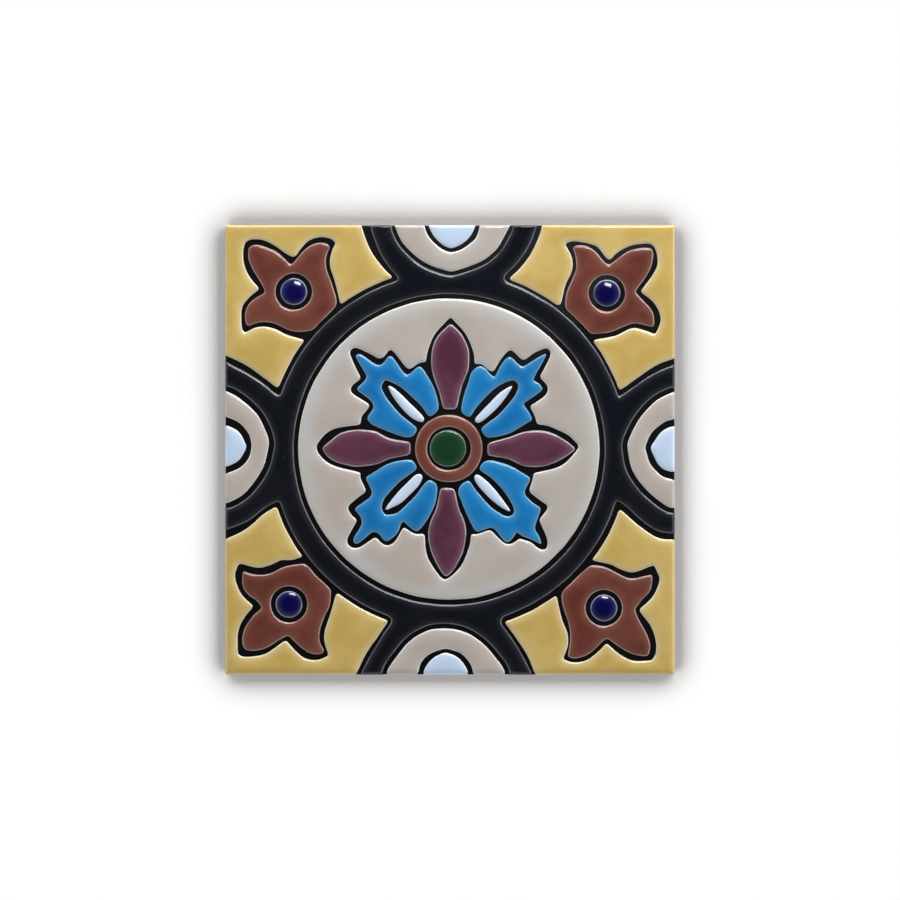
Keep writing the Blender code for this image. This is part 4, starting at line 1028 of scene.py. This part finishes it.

# %% [markdown]
# ## The glazes
# Each glaze has a deep colour where it lies thick and a pale one where it ran thinner, in
# soft patches. Close to the rim it thins out over the pale slip below, and the pale line
# there is also a painted highlight for the light on the rounded rim. A wider band in from
# the rim is paler too, partly thinner glaze and partly a painted sheen. Both are stronger
# in some places than in others. The cream is thinner and greyer along the edge of the
# medallion. The surface is glassy, with the faint dimples of cooled melt and a scatter of
# tiny pinholes.

# %% Mix the glazes
# Each glaze: deep colour, pale colour, the colour at the rim, which is thin glaze and also a painted
# highlight, and the share of the shallows, thinner glaze with a painted sheen.
GLAZES = {
    "black": (colour(21, 24, 30), colour(28, 30, 36), colour(95, 96, 102), 0.1),
    "yellow": (colour(190, 161, 90), colour(206, 180, 114), colour(216, 208, 180), 0.22),
    "cream": (colour(178, 167, 158), colour(188, 186, 184), colour(214, 211, 208), 0.1),
    "brown": (colour(97, 54, 46), colour(118, 71, 61), colour(160, 130, 124), 0.08),
    "plum": (colour(82, 47, 62), colour(100, 62, 79), colour(170, 154, 164), 0.1),
    "blue": (colour(30, 106, 170), colour(40, 130, 190), colour(104, 152, 184), 0.18),
    "white": (colour(188, 208, 232), colour(196, 214, 236), colour(212, 222, 236), 0.1),
    "green": (colour(26, 56, 38), colour(32, 68, 46), colour(96, 114, 104), 0.1),
    "cobalt": (colour(14, 11, 66), colour(22, 18, 80), colour(122, 126, 150), 0.0),
}
# Where the pale rim line, thin glaze and painted highlight, fades out, and how far the shallows with
# their painted sheen reach.
THIN_HIGHLIGHT_START = 0.2
THIN_HIGHLIGHT_REACH = 0.6
SHALLOWS_SHEEN_REACH = 2.4
PALE_REACH = 3.6
GREY_START = 44.0
GREY_END = 49.5


def glaze_finish(glaze):
    """The material of one glaze."""
    deep, pale, thin_and_highlight, shallows_sheen_share = GLAZES[glaze]
    finish = Finish(f"{glaze}_glaze", roughness=0.1)
    rim = finish.rim_distance()
    patches = finish.rise(finish.clouds(13, detail=3), 0.36, 0.66)
    paling = 1 - finish.rise(rim, 0.6, PALE_REACH)
    share = patches * 0.6 + paling * 0.4
    if glaze == "cream":
        outer = finish.rise(finish.from_middle(), GREY_START, GREY_END)
        inside = 1 - finish.rise(finish.from_middle(), CREAM_RADIUS, CREAM_RADIUS + 2)
        share = share * 0.5 + outer * inside * 0.6
    body = finish.blend(share, deep, pale)
    # The pale line at the rim is thin glaze over the slip and also a painted highlight of the
    # rounded rim, stronger in some places than in others.
    thin_highlight_strength = 0.45 + 0.55 * finish.rise(finish.clouds(4.5), 0.36, 0.56)
    edge = thin_highlight_strength * (1 - finish.rise(rim, THIN_HIGHLIGHT_START, THIN_HIGHLIGHT_REACH))
    # The wider pale band in from the rim is partly thinner glaze and partly a painted sheen.
    shallows_and_sheen = 1 - finish.rise(rim, 0.5, SHALLOWS_SHEEN_REACH)
    thinning_and_highlight = edge * (1 - shallows_sheen_share) + shallows_and_sheen * shallows_sheen_share
    finish.set("Base Color", finish.blend(thinning_and_highlight, body, thin_and_highlight))
    pinholes = 1 - finish.rise(finish.cells(3.2), 0.02, 0.045)
    dimples = finish.clouds(1.3, detail=1) - pinholes * 2
    finish.set("Roughness", 0.07 + 0.06 * finish.clouds(4) + 0.3 * pinholes)
    finish.set("Normal", finish.bump(dimples, 0.012))
    return finish.material


tile_pieces = [
    glaze_piece(glaze, bead if glaze == "cobalt" else pool, glaze_finish(glaze))
    for glaze in FIELDS
]

# %% [markdown]
# ## The dry line
# The line is a dark paste of pigment and grease. The grease burns away and leaves a matt,
# slightly rough black. It is a thin plate here, because the glaze covers all of it but
# the lines, with its upper edge broken where the clay's edge is.

# %% Lay the dry line
def plate(reach, bottom, top, arris, arris_top=True):
    """A square plate with softened corners and one softened edge."""
    mesh = bmesh.new()
    bmesh.ops.create_cube(mesh, size=1)
    size = (2 * reach, 2 * reach, top - bottom)
    bmesh.ops.scale(mesh, verts=mesh.verts, vec=size)
    bmesh.ops.translate(mesh, verts=mesh.verts, vec=(0, 0, (top + bottom) / 2))
    upright = [edge for edge in mesh.edges if abs(edge.verts[0].co.z - edge.verts[1].co.z) > 0.01]
    bmesh.ops.bevel(mesh, geom=upright, offset=0.6, segments=4, profile=0.5,
                    affect="EDGES", material=-1)
    level = top if arris_top else bottom
    ring = [edge for edge in mesh.edges if all(abs(vert.co.z - level) < 0.01 for vert in edge.verts)]
    bmesh.ops.bevel(mesh, geom=ring, offset=arris, segments=3, profile=0.5,
                    affect="EDGES", material=-1)
    return mesh


def line_finish():
    """Matt black pigment."""
    finish = Finish("dry_line", roughness=0.6)
    grain = finish.clouds(0.5, detail=3)
    finish.set("Base Color", finish.blend(grain, colour(6, 6, 7), colour(18, 17, 18)))
    finish.set("Roughness", 0.4 + 0.15 * grain)
    finish.set("Specular IOR Level", 0.1)
    finish.set("Normal", finish.bump(grain, 0.03))
    return finish.material


LINE_SEAT = 5.7
line_plate = plate(CLAY_REACH, LINE_SEAT, LINE_LEVEL, 0.6)
tile_pieces.append(finished_piece("dry_line", line_plate, line_finish()))

# %% [markdown]
# ## The clay
# Sides and back are bare fired clay: pale, matt and a little gritty, with small pits where
# grit fell out. The lower edge is broken, as on the solid part.

# %% Fire the clay
BACK_ARRIS = 0.6


def clay_finish():
    """Bare fired clay."""
    finish = Finish("fired_clay", roughness=0.85)
    patches = finish.clouds(20, detail=4)
    grain = finish.clouds(0.7, detail=4)
    pits = 1 - finish.rise(finish.cells(2.4), 0.08, 0.2)
    tone = finish.blend(patches, colour(134, 124, 115), colour(152, 142, 132))
    finish.set("Base Color", finish.blend(pits * 0.5, tone, colour(102, 92, 84)))
    finish.set("Normal", finish.bump(grain - pits, 0.08))
    return finish.material


clay_plate = plate(CLAY_REACH, 0, LINE_SEAT, BACK_ARRIS, arris_top=False)
tile_pieces.append(finished_piece("clay_body", clay_plate, clay_finish()))

# %% [markdown]
# ## Floor, light and camera
# The tile lies face up on a white floor and the camera looks straight down. A broad soft
# sky lights everything. The tile has its own softboxes: a big one beyond its top edge, a
# weaker one at each side, and a small key light that makes only the glints. The floor is
# four wedges that meet under the tile. Each is lit over the tile from its far side, so the
# tile throws the same soft shade all round. Light linking keeps the lights apart.

# %% Lay the floor
FLOOR_REACH = 2.0
AROUND = (0, 90, 180, 270)
floor_finish = Finish("floor", roughness=0.9)
floor_finish.set("Base Color", (0.96, 0.96, 0.96, 1.0))


def floor_wedge(azimuth):
    """The part of a wide white floor that lies to one side of the tile."""
    turn = radians(azimuth)
    away = Vector((sin(turn), cos(turn), 0))
    across = Vector((cos(turn), -sin(turn), 0))
    mesh = bmesh.new()
    corners = (Vector((0, 0, 0)), (away + across) * FLOOR_REACH, (away - across) * FLOOR_REACH)
    mesh.faces.new([mesh.verts.new(corner) for corner in corners])
    data = bpy.data.meshes.new(f"floor_{azimuth}")
    mesh.to_mesh(data)
    mesh.free()
    data.materials.append(floor_finish.material)
    wedge = bpy.data.objects.new(f"floor_{azimuth}", data)
    bpy.context.scene.collection.objects.link(wedge)
    return wedge


def lit_together(name, pieces):
    """A collection that lights can be kept to."""
    collection = bpy.data.collections.new(name)
    for piece in pieces:
        collection.objects.link(piece)
    return collection


lit_tile = lit_together("lit_tile", tile_pieces)
lit_floor = {azimuth: lit_together(f"lit_floor_{azimuth}", [floor_wedge(azimuth)])
             for azimuth in AROUND}

# %% Hang the lights
SKY = 0.87
ZENITH_SHARE = 0.06


def softbox(name, azimuth, elevation, distance, size, brightness, lit):
    """A rectangular light that faces the tile. Azimuth 0 is beyond the tile's top edge."""
    lamp = bpy.data.lights.new(name, "AREA")
    lamp.shape = "RECTANGLE"
    lamp.size, lamp.size_y = size
    lamp.energy = brightness * pi * size[0] * size[1]
    light = bpy.data.objects.new(name, lamp)
    turn, lift = radians(azimuth), radians(elevation)
    towards = Vector((sin(turn) * cos(lift), cos(turn) * cos(lift), sin(lift)))
    light.location = towards * distance
    light.rotation_euler = towards.to_track_quat("Z", "Y").to_euler()
    light.light_linking.receiver_collection = lit
    light.visible_camera = False
    bpy.context.scene.collection.objects.link(light)
    return light


softbox("key", 14, 55, 1.0, (0.35, 0.14), 24, lit_tile).visible_diffuse = False
softbox("back", 14, 22, 0.55, (0.86, 0.2), 8.0, lit_tile)
softbox("right", 90, 22, 1.2, (1.6, 0.4), 1.1, lit_tile)
softbox("left", 270, 22, 1.2, (1.6, 0.4), 0.25, lit_tile)
for azimuth in AROUND:
    softbox(f"floor_{azimuth}", azimuth + 180, 50, 2.4, (4.8, 1.8), 2.45, lit_floor[azimuth])

world = bpy.data.worlds.new("studio")
sky = Graph(world)
background = sky.nodes["Background"]
height = sky.node("SeparateXYZ", sockets={0: sky.node("TexCoord")}, output="Z")
overhead = sky.rise(height, cos(radians(50)), cos(radians(22)))
sky.fill(background.inputs["Color"], (1.0, 1.0, 1.0, 1.0))
sky.fill(background.inputs["Strength"], SKY * (1 - (1 - ZENITH_SHARE) * overhead))
bpy.context.scene.world = world

# %% Set the camera
CAMERA_HEIGHT = 1.5
VIEW_SIDE = 0.3

sight = bpy.data.cameras.new("camera")
sight.sensor_width = 36
sight.lens = sight.sensor_width * (CAMERA_HEIGHT - high.z * MM) / VIEW_SIDE
camera = bpy.data.objects.new("camera", sight)
camera.location = (0, 0, CAMERA_HEIGHT)
bpy.context.scene.collection.objects.link(camera)
bpy.context.scene.camera = camera
bpy.context.scene.view_settings.view_transform = "Standard"
print(f"the camera's lens is {sight.lens:.0f} mm")
